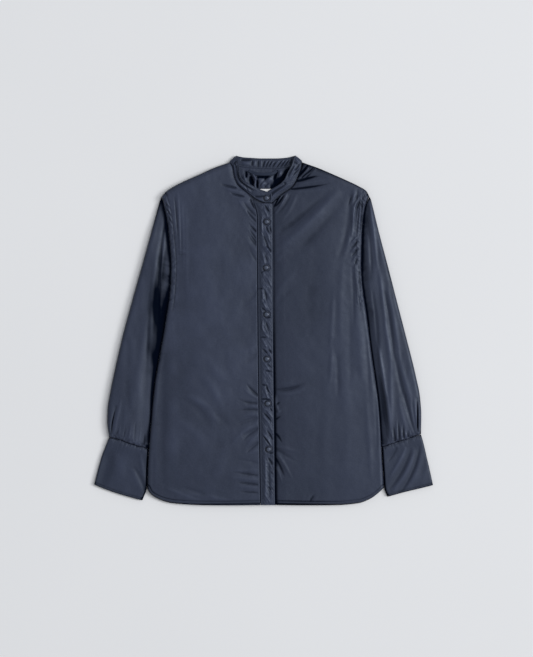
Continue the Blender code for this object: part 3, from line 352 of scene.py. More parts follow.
# Folds, by piece: the fan and the puckers are placed one by one, as they lie. A row is
# x0, y0, x1, y1, bow, half width, height, and the lead where it isn't a half.
RIGHT_FRONT_FOLDS = make_folds(
    (-163, -67, -104, -142, 6.3, 8.4, -0.8), (-155, -75, -87, -163, 7.4, 8.8, 1.1),
    (-171, -142, -108, -209, 7.4, 8.4, -0.8), (-163, -134, -92, -197, 7.4, 8.4, 1.3),
    (-142, -155, -66, -209, 6.3, 7.4, -0.7), (-184, -188, -121, -243, 6.3, 9.5, 0.8),
    (-125, -46, -66, -113, -6.3, 10.5, 0.7), (-211, -31, -211, -327, -2.1, 9, -1.2),
    (-223, -88, -228, -331, 0, 4.6, 0.3), (-188, -104, -190, -293, 0, 12.6, 0.9),
    (-197, 64, -192, -125, 2.1, 10.5, 0.5), (-205, -331, -134, -359, 0, 4.6, 0.9, 0.4),
    (-171, -331, -104, -356, 2.1, 4.2, -0.8, 0.4), (-163, -340, -66, -359, 0, 3.8, 0.6),
    (-11, -138, -37, -111, 1.3, 2.5, -1.6, 0.25), (-11, -144, -43, -121, 2.1, 3.2, 0.55, 0.3),
    (-12, -153, -58, -142, 3.2, 2.7, -0.9, 0.2), (-12, -159, -54, -155, 2.1, 2.5, 0.5, 0.2),
    (-12, -167, -62, -170, -2.1, 2.7, -0.9, 0.2), (-12, -176, -58, -184, -2.1, 2.5, 0.5, 0.25),
    (-12, -184, -66, -205, -3.2, 3.4, -1, 0.25), (-11, -193, -71, -243, -4.2, 4.6, 0.77, 0.35),
    (-11, -205, -43, -230, -2.1, 3.4, -2, 0.35), (-11, -218, -41, -251, -2.1, 3.4, 0.61, 0.3),
    (-11, -235, -37, -258, -1.1, 2.9, -1.7, 0.3), (-11, -251, -50, -266, 0, 2.9, 0.39, 0.3),
    (-24, -209, -47, -222, 0, 4.6, -0.9), (-11, -293, -79, -296, 0, 2.7, 0.33, 0.3),
    (-11, -305, -66, -297, 0, 2.5, -0.9, 0.3), (-11, -314, -75, -308, 0, 3.2, 0.5, 0.35),
    (-11, -324, -58, -319, 0, 2.5, -1.2, 0.3), (-11, -331, -66, -327, 0, 2.9, 0.44, 0.35),
    (-11, -341, -54, -338, 0, 2.3, -0.9, 0.3), (-11, -279, -58, -270, 0, 2.9, -0.5, 0.3),
    (-56, 298.5, -90, 306.5, 0.6, 1.9, -2, 0.4), (-46, 291, -88, 299, 1.1, 2.9, 0.61, 0.4),
    (-40, 280.5, -70, 288, 0.8, 1.8, -2, 0.4), (-31, 271, -75, 271, 2.1, 3.4, 0.44, 0.4),
    (-15, 228, -54, 276, 3.2, 3.4, 0.5, 0.4), (-14, 238, -43, 271, 2.1, 2.5, -0.8, 0.4),
    (-19, 255, -29, 277, 0, 1.8, -2.4), (-15, 252, -23, 276, 0, 1.8, 0.77),
    (-15, 227, -37, 253, 1, 1.7, -1.9, 0.4), (-15, 206.5, -30, 221, 0.3, 1.5, -2.6, 0.3),
    (-15, 212, -33, 230, 0.3, 1.7, 0.55, 0.3), (-15, 183, -29, 202, 0.3, 1.5, -1.5, 0.3),
    (-15, 191, -30, 212, 0.3, 1.5, -1.2, 0.4), (-13, 198, -39, 219, 2.1, 2.7, 0.5, 0.3),
    (-14, 177, -32, 200, 1.3, 2.1, -1, 0.3), (-13, 164, -37, 194, 2.1, 3.4, 0.39, 0.3),
    (-13, 143, -31, 173, 1.1, 2.5, -0.5, 0.3), (-16, 250, -30, 284, -0.8, 2.1, -0.9),
    (-12, 97, -43, 76, 3.2, 4.6, 0.33, 0.3), (-12, 85, -50, 55, 4.2, 4.6, -0.6, 0.3),
    (-12, -27, -50, -46, 3.2, 5, 0.5, 0.3), (-12, -46, -54, -71, 4.2, 5, -0.5, 0.3),
    (-134, 242, -100, 1, -8.4, 33.6, 0.8), (-58, 64, -66, -104, 4.2, 21, 0.6),
    (-79, -230, -104, -319, 6.3, 10.5, 0.6), (-206, 275, -196, 257, 0, 1.6, 1.2),
    (-207, 270, -198, 252, 0, 1.5, -1.2), (-203, 262, -194, 243, 0, 1.6, 1.2),
    (-204, 256, -195, 238, 0, 1.5, -1.2), (-201, 247, -192, 228, 0, 1.6, 1.1),
    (-200, 240, -192, 221, 0, 1.5, -1.1), (-198, 231, -190, 213, 0, 1.6, 0.9),
    (-181, 290, -175, 152, 1.3, 1.9, 0.9, 0.4), (-172, 274, -168, 127, 1.1, 2.5, 0.6),
    (-187, 282, -180, 190, 0.6, 1.7, -0.9, 0.4), (-163, 263, -161, 64, 0, 3.4, 0.4),
    (-184, 169, -163, 165, 0, 1.7, 0.5), (-184, 160, -163, 158, 0, 1.7, -0.5),
)
LEFT_FRONT_FOLDS = make_folds(
    (160, 295, 20, 160, 4.2, 9.7, 2.4, 0.45), (139, 295, 24, 198, 4.2, 7.6, -1.3),
    (173, 282, 47, 143, 6.3, 10.5, -1), (190, 296, 166, 143, 6.7, 5, 2.2, 0.35),
    (181, 286, 154, 143, 6.7, 5.5, -1.5, 0.4), (166, 143, 163, -46, -3.2, 6.7, 0.9, 0.4),
    (22, 244, 49, 289, -2.5, 2.7, 1.7, 0.6), (23, 259, 43, 284, -1.1, 1.7, -2.2),
    (20.5, 258, 35, 283, 0, 1.5, -2.6), (196, 284, 186, 259, 0, 1.7, -1.6),
    (200, 281, 191, 258, 0, 1.7, 1.5), (203.5, 276, 195, 254, 0, 1.6, -1.6),
    (191, 288, 181, 262, 0, 1.7, 1.3), (186, 284, 179, 262, 0, 1.7, -1),
    (26, 262, 40, 289, 0, 1.4, 1.6), (28, 244, 58, 288, -2.9, 2.9, -0.7, 0.6),
    (34, 227, 68, 286, -4.2, 4.2, 0.7, 0.6), (26, 274, 37, 281, 0, 1.7, -1.2),
    (57, 296, 146, 309, -1.5, 2, -1.6, 0.25), (60, 290, 148, 299, -2.1, 4.6, 0.9, 0.3),
    (68, 312, 112, 325, -1, 1.8, -1.5, 0.3), (70, 319, 92, 346, 0, 1.7, -1.6),
    (72, 316, 96, 343, 0, 1.7, 1.8), (78, 318, 104, 341, 0, 1.6, -1.4),
    (86, 322, 112, 339, 0, 1.6, 1.3), (69, 313, 123, 324, 1.1, 2.1, -0.9, 0.3),
    (72, 306, 131, 316, 0, 3.4, 0.9, 0.3), (76, 320, 95, 345, 0.6, 1.9, -1.1, 0.4),
    (82, 318, 102, 342, 0.6, 1.9, 0.9, 0.4), (89, 320, 109, 339, 0.6, 1.9, -0.8, 0.4),
    (83, 332, 95, 350, 0, 1.7, -0.8, 0.4), (197, 297, 188, 206, 1.7, 2.3, -1.2, 0.4),
    (203, 286, 197, 194, 1.3, 2.1, 1.2, 0.4), (207, 278, 202, 198, 0.8, 1.7, -1.2),
    (189, 263, 184, 194, 1.7, 2.5, 0.8), (183, 244, 180, 190, 1.1, 3.4, -1),
    (196, 196, 180, 179, 0, 2.1, 1.5, 0.4), (197, 187, 182, 171, 0.6, 1.7, -1.5, 0.4),
    (198, 179, 181, 162, 0, 2.1, 1.3, 0.4), (198, 171, 184, 154, -0.6, 1.7, -1.3, 0.4),
    (198, 161, 185, 143, 0, 2.1, 1.2, 0.4), (198, 152, 188, 133, 0, 1.7, -0.9, 0.4),
    (212, 261, 204, 276, 0, 1.7, 1.2), (209, 255, 200, 270, 0, 1.7, -1.2),
    (215, 267, 209, 282, 0, 1.7, 1), (191, 143, 198, 51, 1.1, 2.9, 1.3, 0.35),
    (199, 143, 203, 64, 0.6, 2.3, -0.9, 0.4), (185, 135, 189, 1, 1.1, 3.4, -0.7, 0.4),
    (195, 64, 207, -113, 2.5, 10.5, 1.5), (181, 85, 181, -130, 0, 6.3, -0.8),
    (211, 22, 221, -146, 1.3, 4.6, -0.7), (231, 1, 247, -289, 4.2, 4.2, 1.5),
    (224, -29, 238, -251, 3.4, 3.8, -0.8), (146, 85, 139, -46, 1.1, 3.8, 0.8),
    (153, -46, 156, -142, 1.1, 3.8, -1.1), (144, -33, 139, -113, 0, 3.4, 0.9),
    (135, -115, 121, -272, 3.2, 10.5, 0.7), (169, -41, 175, -293, 2.1, 14.7, 0.9),
    (25, -124, 86, -110, -5.5, 3.6, -1.8, 0.45), (25, -134, 89, -121, -5.5, 4.6, 1.2, 0.45),
    (26, -113, 72, -102, -4.2, 5, 0.7, 0.4), (26, -134, 33, -174, -3.8, 2.9, 1.5),
    (26, -159, 35, -151, 1.3, 2.1, -0.8), (26, -178, 38, -167, 1.3, 2.3, 1.1, 0.4),
    (26, -188, 37, -180, 0.8, 1.9, -0.6, 0.4), (26, -216, 39, -237, 0.8, 2.1, -0.9, 0.4),
    (26, -256, 60, -312, 1.3, 3.4, 1, 0.3), (26, -268, 45, -310, 0.8, 2.5, -0.7, 0.35),
    (26, -247, 72, -277, -1.7, 3.8, -0.7, 0.3), (26, -243, 76, -256, 0, 3.8, 0.7, 0.3),
    (26, -285, 39, -323, 0.8, 2.7, 0.9, 0.3), (24, 143, 55, 171, 2.1, 5.5, 0.7, 0.4),
    (24, 64, 68, 122, 6.3, 7.4, 0.7, 0.4), (24, 47, 60, 85, 4.2, 5.5, -0.5, 0.4),
    (81, -361, 87, -344, 0, 2.1, 0.5, 0.4), (89, -361, 100, -342, 0.8, 2.3, 0.7, 0.4),
    (97, -361, 108, -344, 0.8, 1.9, -0.6, 0.4), (106, -361, 114, -346, 0.4, 2.1, 0.5, 0.4),
    (76, 1, 85, -293, 6.3, 25.2, 0.7), (118, 169, 110, -20, -4.2, 25.2, -0.7),
    (55, 106, 47, -83, 2.1, 18.9, -0.5), (215, -146, 226, -314, 1.1, 6.3, 0.8),
)
RIGHT_SLEEVE_FOLDS = make_folds(
    (-207, 259, -236, 64, -3.2, 4.2, 0.5), (-222, 169, -240, -88, -3.2, 4.6, 0.45, 0.45),
    (-211, 215, -222, 1, -1.7, 3.6, -0.8, 0.45), (-206, 215, -217, 95, -0.8, 2.7, 0.5),
    (-234, 64, -253, -167, -2.1, 6.7, -0.54), (-247, 1, -264, -214, 0, 8.4, 0.42),
    (-257, 148, -283, -62, 0, 10.5, 0.36), (-276, 1, -299, -230, 0, 8.4, -0.42),
    (-239, -88, -247, -230, 0, 5.5, 0.54), (-289, -130, -293, -218, 0, 5, 0.42),
    (-299, -142, -315, -212, 0.8, 3.2, 0.54), (-304, -222, -301, -197, 0, 1.9, 0.36, 0.35),
    (-293, -225, -290, -197, 0, 1.9, -0.36, 0.35), (-283, -230, -278, -197, 0.4, 2.1, 0.42, 0.35),
    (-272, -234, -268, -188, 0, 2.1, -0.42, 0.35), (-262, -237, -257, -197, 0, 1.9, 0.36, 0.35),
    (-251, -243, -249, -214, 0, 1.7, -0.36, 0.35), (-315, -218, -308, -197, 0, 1.9, 0.42, 0.4),
    (-309, -220, -304, -205, 0, 1.7, -0.36, 0.4),
)
LEFT_SLEEVE_FOLDS = make_folds(
    (221, 278, 237, 143, 1.3, 4, 1.42, 0.45), (216, 248, 227, 116, 1.3, 3.4, -0.9),
    (232, 257, 244, 64, 2.1, 4.6, -0.75), (235, 158, 257, 1, 2.5, 4.6, 1.5),
    (253, 22, 268, -88, 1.7, 4.6, 1.35), (266, -67, 269, -209, 0, 5, 1.27),
    (228, 85, 241, -88, 2.5, 4.2, -1.42), (236, -20, 257, -142, 1.7, 3.8, 1.27),
    (242, -88, 263, -226, 1.3, 4.2, -1.42), (257, -125, 266, -222, 0.8, 3.4, 0.9),
    (247, 206, 270, 64, 2.1, 3.4, -0.83), (252, 85, 274, -67, 2.5, 4.4, -1.5),
    (259, 93, 286, -67, 2.9, 4.6, 1.2), (274, -46, 303, -172, -2.5, 4.2, -1.5, 0.55),
    (282, -41, 312, -155, -2.1, 5.5, 1.35), (295, -130, 320, -222, -2.5, 3.6, -1.35, 0.4),
    (284, -138, 301, -214, -2.5, 5, 1.12, 0.4), (316, -142, 325, -214, -1.1, 2.9, 0.9, 0.45),
    (307, -142, 318, -214, -1.3, 3.2, 0.6, 0.45), (276, -233, 272, -197, 0, 2.1, -1.05, 0.2),
    (281, -232, 278, -188, 0, 2.1, 0.83, 0.2), (285, -230, 282, -184, 0, 2.1, -1.05, 0.2),
    (290, -228, 288, -197, 0, 1.9, 0.83, 0.2), (294, -227, 293, -193, 0.4, 1.9, -0.98, 0.2),
    (299, -226, 297, -203, 0.6, 1.9, 0.83, 0.25), (304, -225, 302, -209, 0.6, 1.7, -0.75, 0.25),
    (271, -236, 268, -205, 0, 1.9, 0.75, 0.25), (310, -223, 306, -207, 0.6, 1.7, 0.68, 0.3),
)
# Bands of painted shadow on each sleeve beside the body, where the body's edge shades it
RIGHT_SLEEVE_PAINTED_SHADOWS = make_folds(
    (-224, 90, -234, -75, 0, 8, 0.85), (-206, 245, -213, 90, 0, 6, 0.65),
    (-216, 208, -230, -10, -2, 5.5, 0.55), (-214, 262, -242, -75, -5, 9, 0.75, 0.55),
    (-212, 165, -237, -105, 3, 13, 0.7), (-199, 85, -234, -215, -7, 6.5, 1.5),
)
LEFT_SLEEVE_PAINTED_SHADOWS = make_folds(
    (211, 105, 226, 0, -1, 9, 0.35), (246, -100, 260, -240, 1, 5.5, 0.5),
    (213, 264, 208, 120, 0, 5.5, 0.9, 0.6),
)
RIGHT_CUFF_FOLDS = make_folds(
    (-326, -258, -345, -322, 2, 9.5, -0.9, 0.55), (-285, -285, -256, -344, 3.2, 6.3, 0.5, 0.55),
    (-274, -285, -249, -340, 2.5, 4.2, -0.8, 0.6), (-327, -243, -293, -314, 4.2, 10.5, 0.5),
    (-315, -248, -340, -330, -2.1, 12, -1.6), (-281, -247, -306, -323, -4.2, 10.5, 0.5),
    (-260, -256, -251, -314, 0, 4.2, 0.6),
)
LEFT_CUFF_FOLDS = make_folds(
    (310, -247, 262, -335, 5, 4.6, -1.9), (318, -249, 270, -340, 5.9, 5, 1.5),
    (328, -243, 284, -344, 7.1, 3.8, -1.5), (335, -245, 297, -340, 6.3, 6.7, 1),
    (299, -245, 264, -310, 2.1, 4.2, 1.3, 0.45), (280, -245, 260, -277, 0.8, 3.4, -1.1, 0.4),
    (345, -277, 333, -331, 0, 6.3, 0.6),
)
BACK_NECK_FOLDS = make_folds(
    (-36, 334, -37, 320, 0, 2.1, -2.2), (-27, 325, -24, 304, 0, 4.2, -3),
    (-19, 322, -12, 315, 0, 1.9, 1.6), (-21, 310, -16, 297, 0, 1.9, 1.8),
    (-6, 302, 8, 318, 0, 2.6, 1.8), (-9, 303, 0, 315, 0, 1.8, -1.6), (1, 300, 16, 315, 0, 2, -1.4),
    (22, 338, 21, 325, 0, 1.8, 1.6), (36, 336, 32, 324, 0, 2, 1.6),
    (-41, 328, -37, 307, 0, 2.9, 1.2), (-22, 332, -17, 303, 0.8, 2.9, 2.2),
    (-13, 324, -13, 297, -0.8, 2.1, -3.2), (-8, 320, -3, 301, 1.3, 4.6, 1.9),
    (5, 324, -3, 303, 1.7, 3.4, -1.4), (13, 328, 9, 307, 1.3, 4.2, 1.5),
    (27, 337, 21, 316, 0.8, 2.3, -2.2), (37, 337, 32, 320, 0.8, 3.4, 1.4),
    (45, 337, 43, 320, 0, 2.1, -1), (-3, 311, 13, 299, 1.1, 3.4, 1),
    (-29, 332, -14, 316, 0.4, 2.3, 1.2), (-20, 320, -24, 299, 0.6, 2.1, -1.2),
)

# Painted shadow where the neck is seen in deep shadow: beneath the loop and under the left collar
# end
NECK_PAINTED_SHADOWS = make_folds(
    (58, 349, 12, 294, 5, 7.5, 3.2, 0.55), (40, 338, 4, 298, 4, 9, 0.9, 0.55),
    (-15, 322, 18, 322.5, 0, 2.6, 4), (-30, 329, -12, 321.5, 0, 1.9, 2),
    (29, 338, 25, 323, 0, 2, 2), (-36, 336, -37.5, 320, 0, 2.2, 2.4),
    (-27, 325, -24, 304, 0, 3.1, 1.2), (-12, 313, -13, 298, 0, 1.8, 1.6),
    (10, 326, 16, 318, 0, 6, 0.9), (-48, 330, -34, 302, -2, 5, 1.2),
)

# Folds of the collar band: length round it from the right end, and height above its seam
COLLAR_OUTER_FOLDS = make_folds(
    (35, 3, 15, 12.5, 0, 1.3, -2.4), (31, 1, 13, 5, 0, 1.7, 1.2), (4, 4, 4, 20, 0, 1.6, -1.5),
    (44, 6.5, 116, 5.5, 0, 3.2, 2.3), (40, 12.5, 104, 12.5, 0, 1.8, -2),
    (30, 17.5, 84, 18, 0, 1.4, 1, 0.4), (50, 3, 62, 12, 0, 1.5, -1), (66, 9, 76, 19, 0, 1.4, -0.9),
    (84, 12, 96, 20, 0, 1.5, -1), (104, 12, 118, 9, 0, 1.6, -1.4), (112, 4, 112, 17, 0, 1.6, 1.2),
    (118, 4, 119, 18, 0, 1.5, -1.2), (334, 13, 394, 13, 0, 1.6, -1.9),
    (340, 18.2, 392, 18.2, 0, 1.4, 1.1), (332, 8, 396, 8, 0, 1.8, 1.2),
    (290, 14, 324, 13.5, 0, 1.5, 1.4), (292, 17, 318, 18, 0, 1.4, -1.2),
    (303, 10.5, 284, 5, 0, 1.4, -1.5), (303, 7, 286, 2, 0, 1.3, 1.2),
    (316, 9, 296, 3.5, 0, 1.4, -1.2), (326, 10, 306, 5.5, 0, 1.5, 1),
    (282, 6, 280, 18, 0, 1.5, 1.2), (287, 9, 285, 20, 0, 1.4, -1.2),
    (330, 18, 338, 12, 0, 1.6, -1.4),
)
COLLAR_INNER_FOLDS = make_folds(
    (147, 15, 172, 17.5, 0, 1.8, -1.8, 0.35), (151, 9, 169, 8.5, 0, 4, 1),
    (173, 4, 172, 18, 0, 2, -0.9), (178, 3, 178, 18, 0, 2, 0.9), (185, 2, 185, 18, 0, 1.6, -1),
    (191, 2, 191, 19, 0, 1.3, 1.3), (194.5, 2, 198.5, 17.5, 0, 1.4, -1.4),
    (199, 3, 203, 17.5, 0, 1.5, 1.2), (201, 2, 207, 17.5, 0, 1.4, -1.4),
    (205, 4, 209.5, 16, 0, 1.4, 1.1), (207.5, 3, 213.5, 17, 0, 1.4, -1.3),
    (212, 4, 217, 16, 0, 1.4, 1.2), (216, 3, 221.5, 15.5, 0, 1.4, -1.3),
    (220, 3, 228, 17.5, 0, 1.4, 1.3), (225.5, 2, 235, 17.5, 0, 1.4, -1.5),
    (229, 3, 238, 17.5, 0, 1.3, 1.3), (233, 2, 242.5, 16, 0, 1.4, -1.5),
    (237, 3, 247, 17.5, 0, 1.3, 1.3), (240.5, 2, 250, 15.5, 0, 1.4, -1.4),
    (245, 3, 252, 14, 0, 1.3, 1.2), (252, 2, 258, 18, 0, 1.8, -1.6),
)

# Soft dents in the back's underside, which rise from the floor
BACK_FOLDS = make_folds(
    (-170, 250, -60, 120, 9, 9, 1.4), (-120, 262, -20, 150, 7, 8, 1, 0.4),
    (178, 240, 70, 105, -8, 9, 1.3), (132, 268, 44, 158, -6, 7, 0.9, 0.45),
    (-176, 60, -150, -170, 6, 11, 1.2), (-120, 20, -112, -230, -5, 13, 1, 0.45),
    (182, 30, 168, -190, -6, 10, 1.3), (122, -30, 140, -270, 5, 12, 0.9),
    (-60, 60, -32, -160, 4, 12, 0.9), (46, 20, 58, -210, -4, 11, 1, 0.55),
    (-8, -90, 4, -300, 3, 10, 1.1), (-196, -200, -120, -310, 8, 8, 1.2, 0.4),
    (204, -190, 140, -300, -8, 8, 1.1, 0.45), (-70, -250, -20, -330, 5, 7, 0.9),
    (88, -240, 50, -335, -5, 7, 1),
)

# Folds of the placket, which run down towards its free edge
PLACKET_FOLDS = make_folds(
    (2, 263, 16, 245, -1, 1.9, -1.9), (-1, 257, 9, 236, 1, 2.1, 1.1), (9, 256, 17, 237, 1, 1.7, 1),
    (-3, 242, -2, 190, -1.5, 2.4, 1.3, 0.4), (5, 219, 13, 202, -1, 1.7, -1.3),
    (13, 219, 17, 204, -1, 1.5, -1.6), (0, 215, 13, 185, 2, 2, 1.3, 0.45),
    (-1, 199, 8, 172, 2, 2.2, -0.9), (1, 177, 16, 156, 1.5, 1.8, 1.3),
    (5, 178, 16, 162, 1, 1.6, -1.3), (-4, 166, 3, 135, 1, 2, 1.2), (2, 160, 9, 142, 0, 2.4, -0.7),
    (-6, 119, 6, 127, 1, 1.6, -0.8, 0.4), (7, 112, 16, 91, 1, 2.1, 1.1),
    (2, 97, 9, 89, 0.5, 1.7, 0.9), (-12, 87, -1, 88, 0, 1.3, -1.3), (-3, 89, -2, 59, 0.5, 1.9, 1.4),
    (-2, 60, 5, 44, 0.5, 1.8, 1.2, 0.4), (1, 87, 6, 62, 1, 2, -0.9),
    (-5, 48, 5, 39, 0.5, 1.3, -1.7), (-8, 45, -1, 37, 0, 1.5, 1.2), (3, 26.7, 17, 26.7, 0, 1, -1.8),
    (-2, 22, -1, -4, -1, 1.8, 1.3), (-1, -4, 11, -17, 1, 1.9, 1.3, 0.45),
    (5, 20, 12, -5, -1, 2.4, -0.8), (-8, -15, 6, -15, 0.5, 1.4, -1.3), (0, -26, 6, -38, 1, 1.8, 1),
    (-3, -38, 8, -50, 0.5, 1.6, -1.7), (9, -40, 17, -48, 0.5, 1.6, -1.5),
    (0, -68, 10, -83, 1, 2, 1.1), (5, -70, 18, -80, 0.5, 1.5, -1.2),
    (1, -85, 18, -88, 1, 1.5, -1.4), (-3, -79, 13, -84, 0.5, 1.6, 0.8),
    (-5, -113, 6, -115, -1, 1.4, -1.6), (5, -114, 18, -138, -2, 1.5, -1.9, 0.45),
    (9, -120, 19, -140, -1.5, 1.7, 1.2), (0, -121, 8, -147, 2, 2.2, 1.2),
    (-6, -144.5, 16, -147, 1, 1.3, -2.1), (-4, -148, 3, -151, 0, 1.4, 1.2),
    (0, -163, 18, -184, 1.5, 1.9, 1.4), (-1, -173, 16, -192, 1, 1.5, -1.9),
    (-4, -180, 13, -196, 1, 1.7, 1), (13, -163, 18, -170, 0, 1.4, -1.4),
    (-3, -215, 16, -243, 1.5, 2.1, 1.7), (-1, -222, 14, -242, 0.5, 1.3, -2),
    (7, -211, 18, -231, 1.5, 1.6, -1.9), (11, -258, 20, -256, -1, 1.5, -1.6),
    (9, -266, 18, -284, 1, 2.2, -1.2), (3, -262, 3, -357, 1, 2.6, 1),
    (11, -270, 13, -357, -1, 3, -1), (15, -296, 20, -304, 0, 1.4, -0.9),
    (9, -328, 16, -337, 0.5, 1.6, -1),
)

SNAPS = (
    (6.3, 277.5), (6.3, 227.5), (5.6, 131.4), (6.3, 33.1), (6.8, -60.2), (8.8, -153.8),
    (10.5, -250.0),
)

# Middle line of the hanger loop's lower face
LOOP_MIDDLE = (
    (-31.5, 336.0, 5.9), (-24.0, 331.5, 6.4), (-14.5, 328.4, 7.5), (2.0, 327.6, 8.0),
    (16.5, 328.4, 7.5), (23.5, 331.5, 6.4), (27.5, 336.0, 5.9),
)
LOOP_WIDTH = 7.0
RIB_PITCH = 1.75
LABEL_LEFT = -7.0
LABEL_RIGHT = 17.6
LABEL_TOP = 297.0
LABEL_HEIGHT = 12.0


# ---------------------------------------------------------------- curves


class Edge(NamedTuple):
    """An edge seen from plan points: how far it is, and how far along it that is."""

    gap: Array
    at: Array


def even(count: int) -> Array:
    """Return fractions from 0 to 1 at even steps."""
    return np.linspace(0.0, 1.0, count)


def between(low: object, high: object, share: Array) -> Array:
    """Return what lies between two values, at a share of the way."""
    return low + (high - low) * share


def unit(vectors: Array) -> Array:
    """Scale vectors to length 1."""
    return vectors / np.linalg.norm(vectors, axis=-1)[..., None]


def knot_places(points: Array) -> Array:
    """Return how far along its straight steps each point lies."""
    steps = np.linalg.norm(np.diff(points, axis=0), axis=1)
    return np.concatenate(([0.0], np.cumsum(steps)))


def read_at(values: Array, knots: Array, places: Array) -> Array:
    """Read rows of values, one for each knot, at places between the knots."""
    return np.stack([np.interp(places, knots, column) for column in values.T], axis=-1)


def smooth_curve(points: object, samples: int = 170) -> Array:
    """Read a smooth curve through the points, without overshoot between them.

    Each coordinate is a cubic between two points. Its slope at a point is the weighted
    harmonic mean of the slopes on both sides, or level where they change sign.

    Args:
        points: Rows of coordinates that the curve passes through.
        samples: How many even places along it to read.

    Returns:
        One row of coordinates for each place.
    """
    rows = np.array(points, dtype=float)
    knots = knot_places(rows)
    spans = np.diff(knots)[:, None]
    secants = np.diff(rows, axis=0) / spans
    slopes = np.vstack([secants[:1], np.zeros_like(rows[2:]), secants[-1:]])
    before, after = secants[:-1], secants[1:]
    weight0 = 2 * spans[1:] + spans[:-1]
    weight1 = spans[1:] + 2 * spans[:-1]
    same_way = before * after > 0.0
    safe0 = np.where(same_way, before, 1.0)
    safe1 = np.where(same_way, after, 1.0)
    mean = (weight0 + weight1) / (weight0 / safe0 + weight1 / safe1)
    slopes[1:-1] = np.where(same_way, mean, 0.0)
    places = np.linspace(0.0, knots[-1], samples)
    span = np.clip(np.searchsorted(knots, places, side="right") - 1, 0, len(rows) - 2)
    size = spans[span]
    part = (places - knots[span])[:, None] / size
    rise = part * part * (3.0 - 2.0 * part)
    leave = part * (1.0 - part) ** 2 * size
    arrive = -part * part * (1.0 - part) * size
    straight = rows[span] * (1.0 - rise) + rows[span + 1] * rise
    return straight + leave * slopes[span] + arrive * slopes[span + 1]


def curve_field(points: Rows, raised: float = 0.0) -> Array:
    """Return a dataclass field that holds the smooth curve through the points, moved up."""
    return field(default_factory=lambda: smooth_curve(points) + np.array([0.0, raised]))


def join_curves(*curves: Array) -> Array:
    """Join dense curves end to end, dropping each repeated first point."""
    return np.vstack([curves[0]] + [curve[1:] for curve in curves[1:]])


def curve_length(curve: Array) -> float:
    """Return the length of a dense curve."""
    return float(knot_places(curve)[-1])


def read_curve(curve: Array, fractions: Array) -> Array:
    """Read points of a dense curve at fractions of its length."""
    travelled = knot_places(curve)
    return read_at(curve, travelled, np.asarray(fractions) * travelled[-1])


def split_at_y(curve: Array, level: float) -> tuple[Array, Array]:
    """Split a curve that runs downwards at a height on the plan."""
    turn = int(np.argmax(curve[:, 1] < level))
    return curve[:turn + 1], curve[turn:]


def shift_sideways(curve: Array, distance: float) -> Array:
    """Move a plan curve sideways, to the left of its own direction."""
    along = unit(np.gradient(curve, axis=0))
    return curve + distance * np.stack([-along[:, 1], along[:, 0]], axis=-1)


def nearest(plan: Array, curve: Array) -> Edge:
    """Find the nearest place on a curve for each plan point.

    The nearest of every few points of the curve comes first, and then the nearest
    place on the short steps beside it.

    Args:
        plan: Plan points, in any grid.
        curve: A dense curve.

    Returns:
        The distance to the curve, and the length along it of the nearest place.
    """
    flat = plan.reshape(-1, 2)
    steps = np.diff(curve, axis=0)
    length2 = np.maximum((steps ** 2).sum(axis=1), TINY ** 2)
    travelled = knot_places(curve)
    coarse = curve[::COARSE_STEP]
    far2 = (coarse ** 2).sum(axis=1)[None] - 2.0 * flat @ coarse.T
    first = far2.argmin(axis=1) * COARSE_STEP - COARSE_STEP - 2
    near = np.clip(first[:, None] + np.arange(2 * COARSE_STEP + 4), 0, len(steps) - 1)
    offset = flat[:, None] - curve[near]
    part = np.clip((offset * steps[near]).sum(axis=2) / length2[near], 0.0, 1.0)
    gap2 = ((offset - part[..., None] * steps[near]) ** 2).sum(axis=2)
    best = gap2.argmin(axis=1)
    row = np.arange(len(flat))
    segment = near[row, best]
    place = travelled[segment] + part[row, best] * np.sqrt(length2[segment])
    shape = plan.shape[:-1]
    return Edge(np.sqrt(gap2[row, best]).reshape(shape), place.reshape(shape))


# ---------------------------------------------------------------- grids on the plan


def patch(
    start: Array, end: Array, top: Array, bottom: Array, across: Array, down: Array
) -> Array:
    """Fill four edge curves with plan points, rows from top to bottom.

    Each point blends the two side curves and the two end curves, less the plain blend
    of the four corners.

    Args:
        start: Side curve at fraction 0 across, from top to bottom.
        end: Side curve at fraction 1 across.
        top: End curve at fraction 0 down, from start to end.
        bottom: End curve at fraction 1 down.
        across: Fractions across, one row for each fraction down, or one row for all.
        down: Fractions down.

    Returns:
        A grid of plan points, rows by columns.
    """
    s = np.atleast_2d(across)[..., None]
    t = np.asarray(down)[:, None, None]
    side0 = read_curve(start, down)[:, None, :]
    side1 = read_curve(end, down)[:, None, :]
    row0 = read_curve(top, s[..., 0])
    row1 = read_curve(bottom, s[..., 0])
    corners = (
        (1 - s) * (1 - t) * top[0] + s * (1 - t) * top[-1]
        + (1 - s) * t * bottom[0] + s * t * bottom[-1]
    )
    return (1 - s) * side0 + s * side1 + (1 - t) * row0 + t * row1 - corners


def strip_plan(left: Array, right: Array, across: Array, rows: int) -> Array:
    """Fill a strip between two edges with plan points, its ends square."""
    ends = [np.array([left[k], right[k]]) for k in (0, -1)]
    return patch(left, right, ends[0], ends[1], across, even(rows))


def dense_fractions(length: float, step: float, rim: float = RIM_ROLL) -> Array:
    """Fractions from 0 to 1 at even steps, with extra ones where an edge rolls over."""
    edge = np.array(ROLL_PLACES) * rim / length
    count = max(int(round(length / step)), 4)
    middle = np.linspace(2.0 * edge[-1], 1.0 - 2.0 * edge[-1], count)
    return np.concatenate([edge, middle, 1.0 - edge[::-1]])


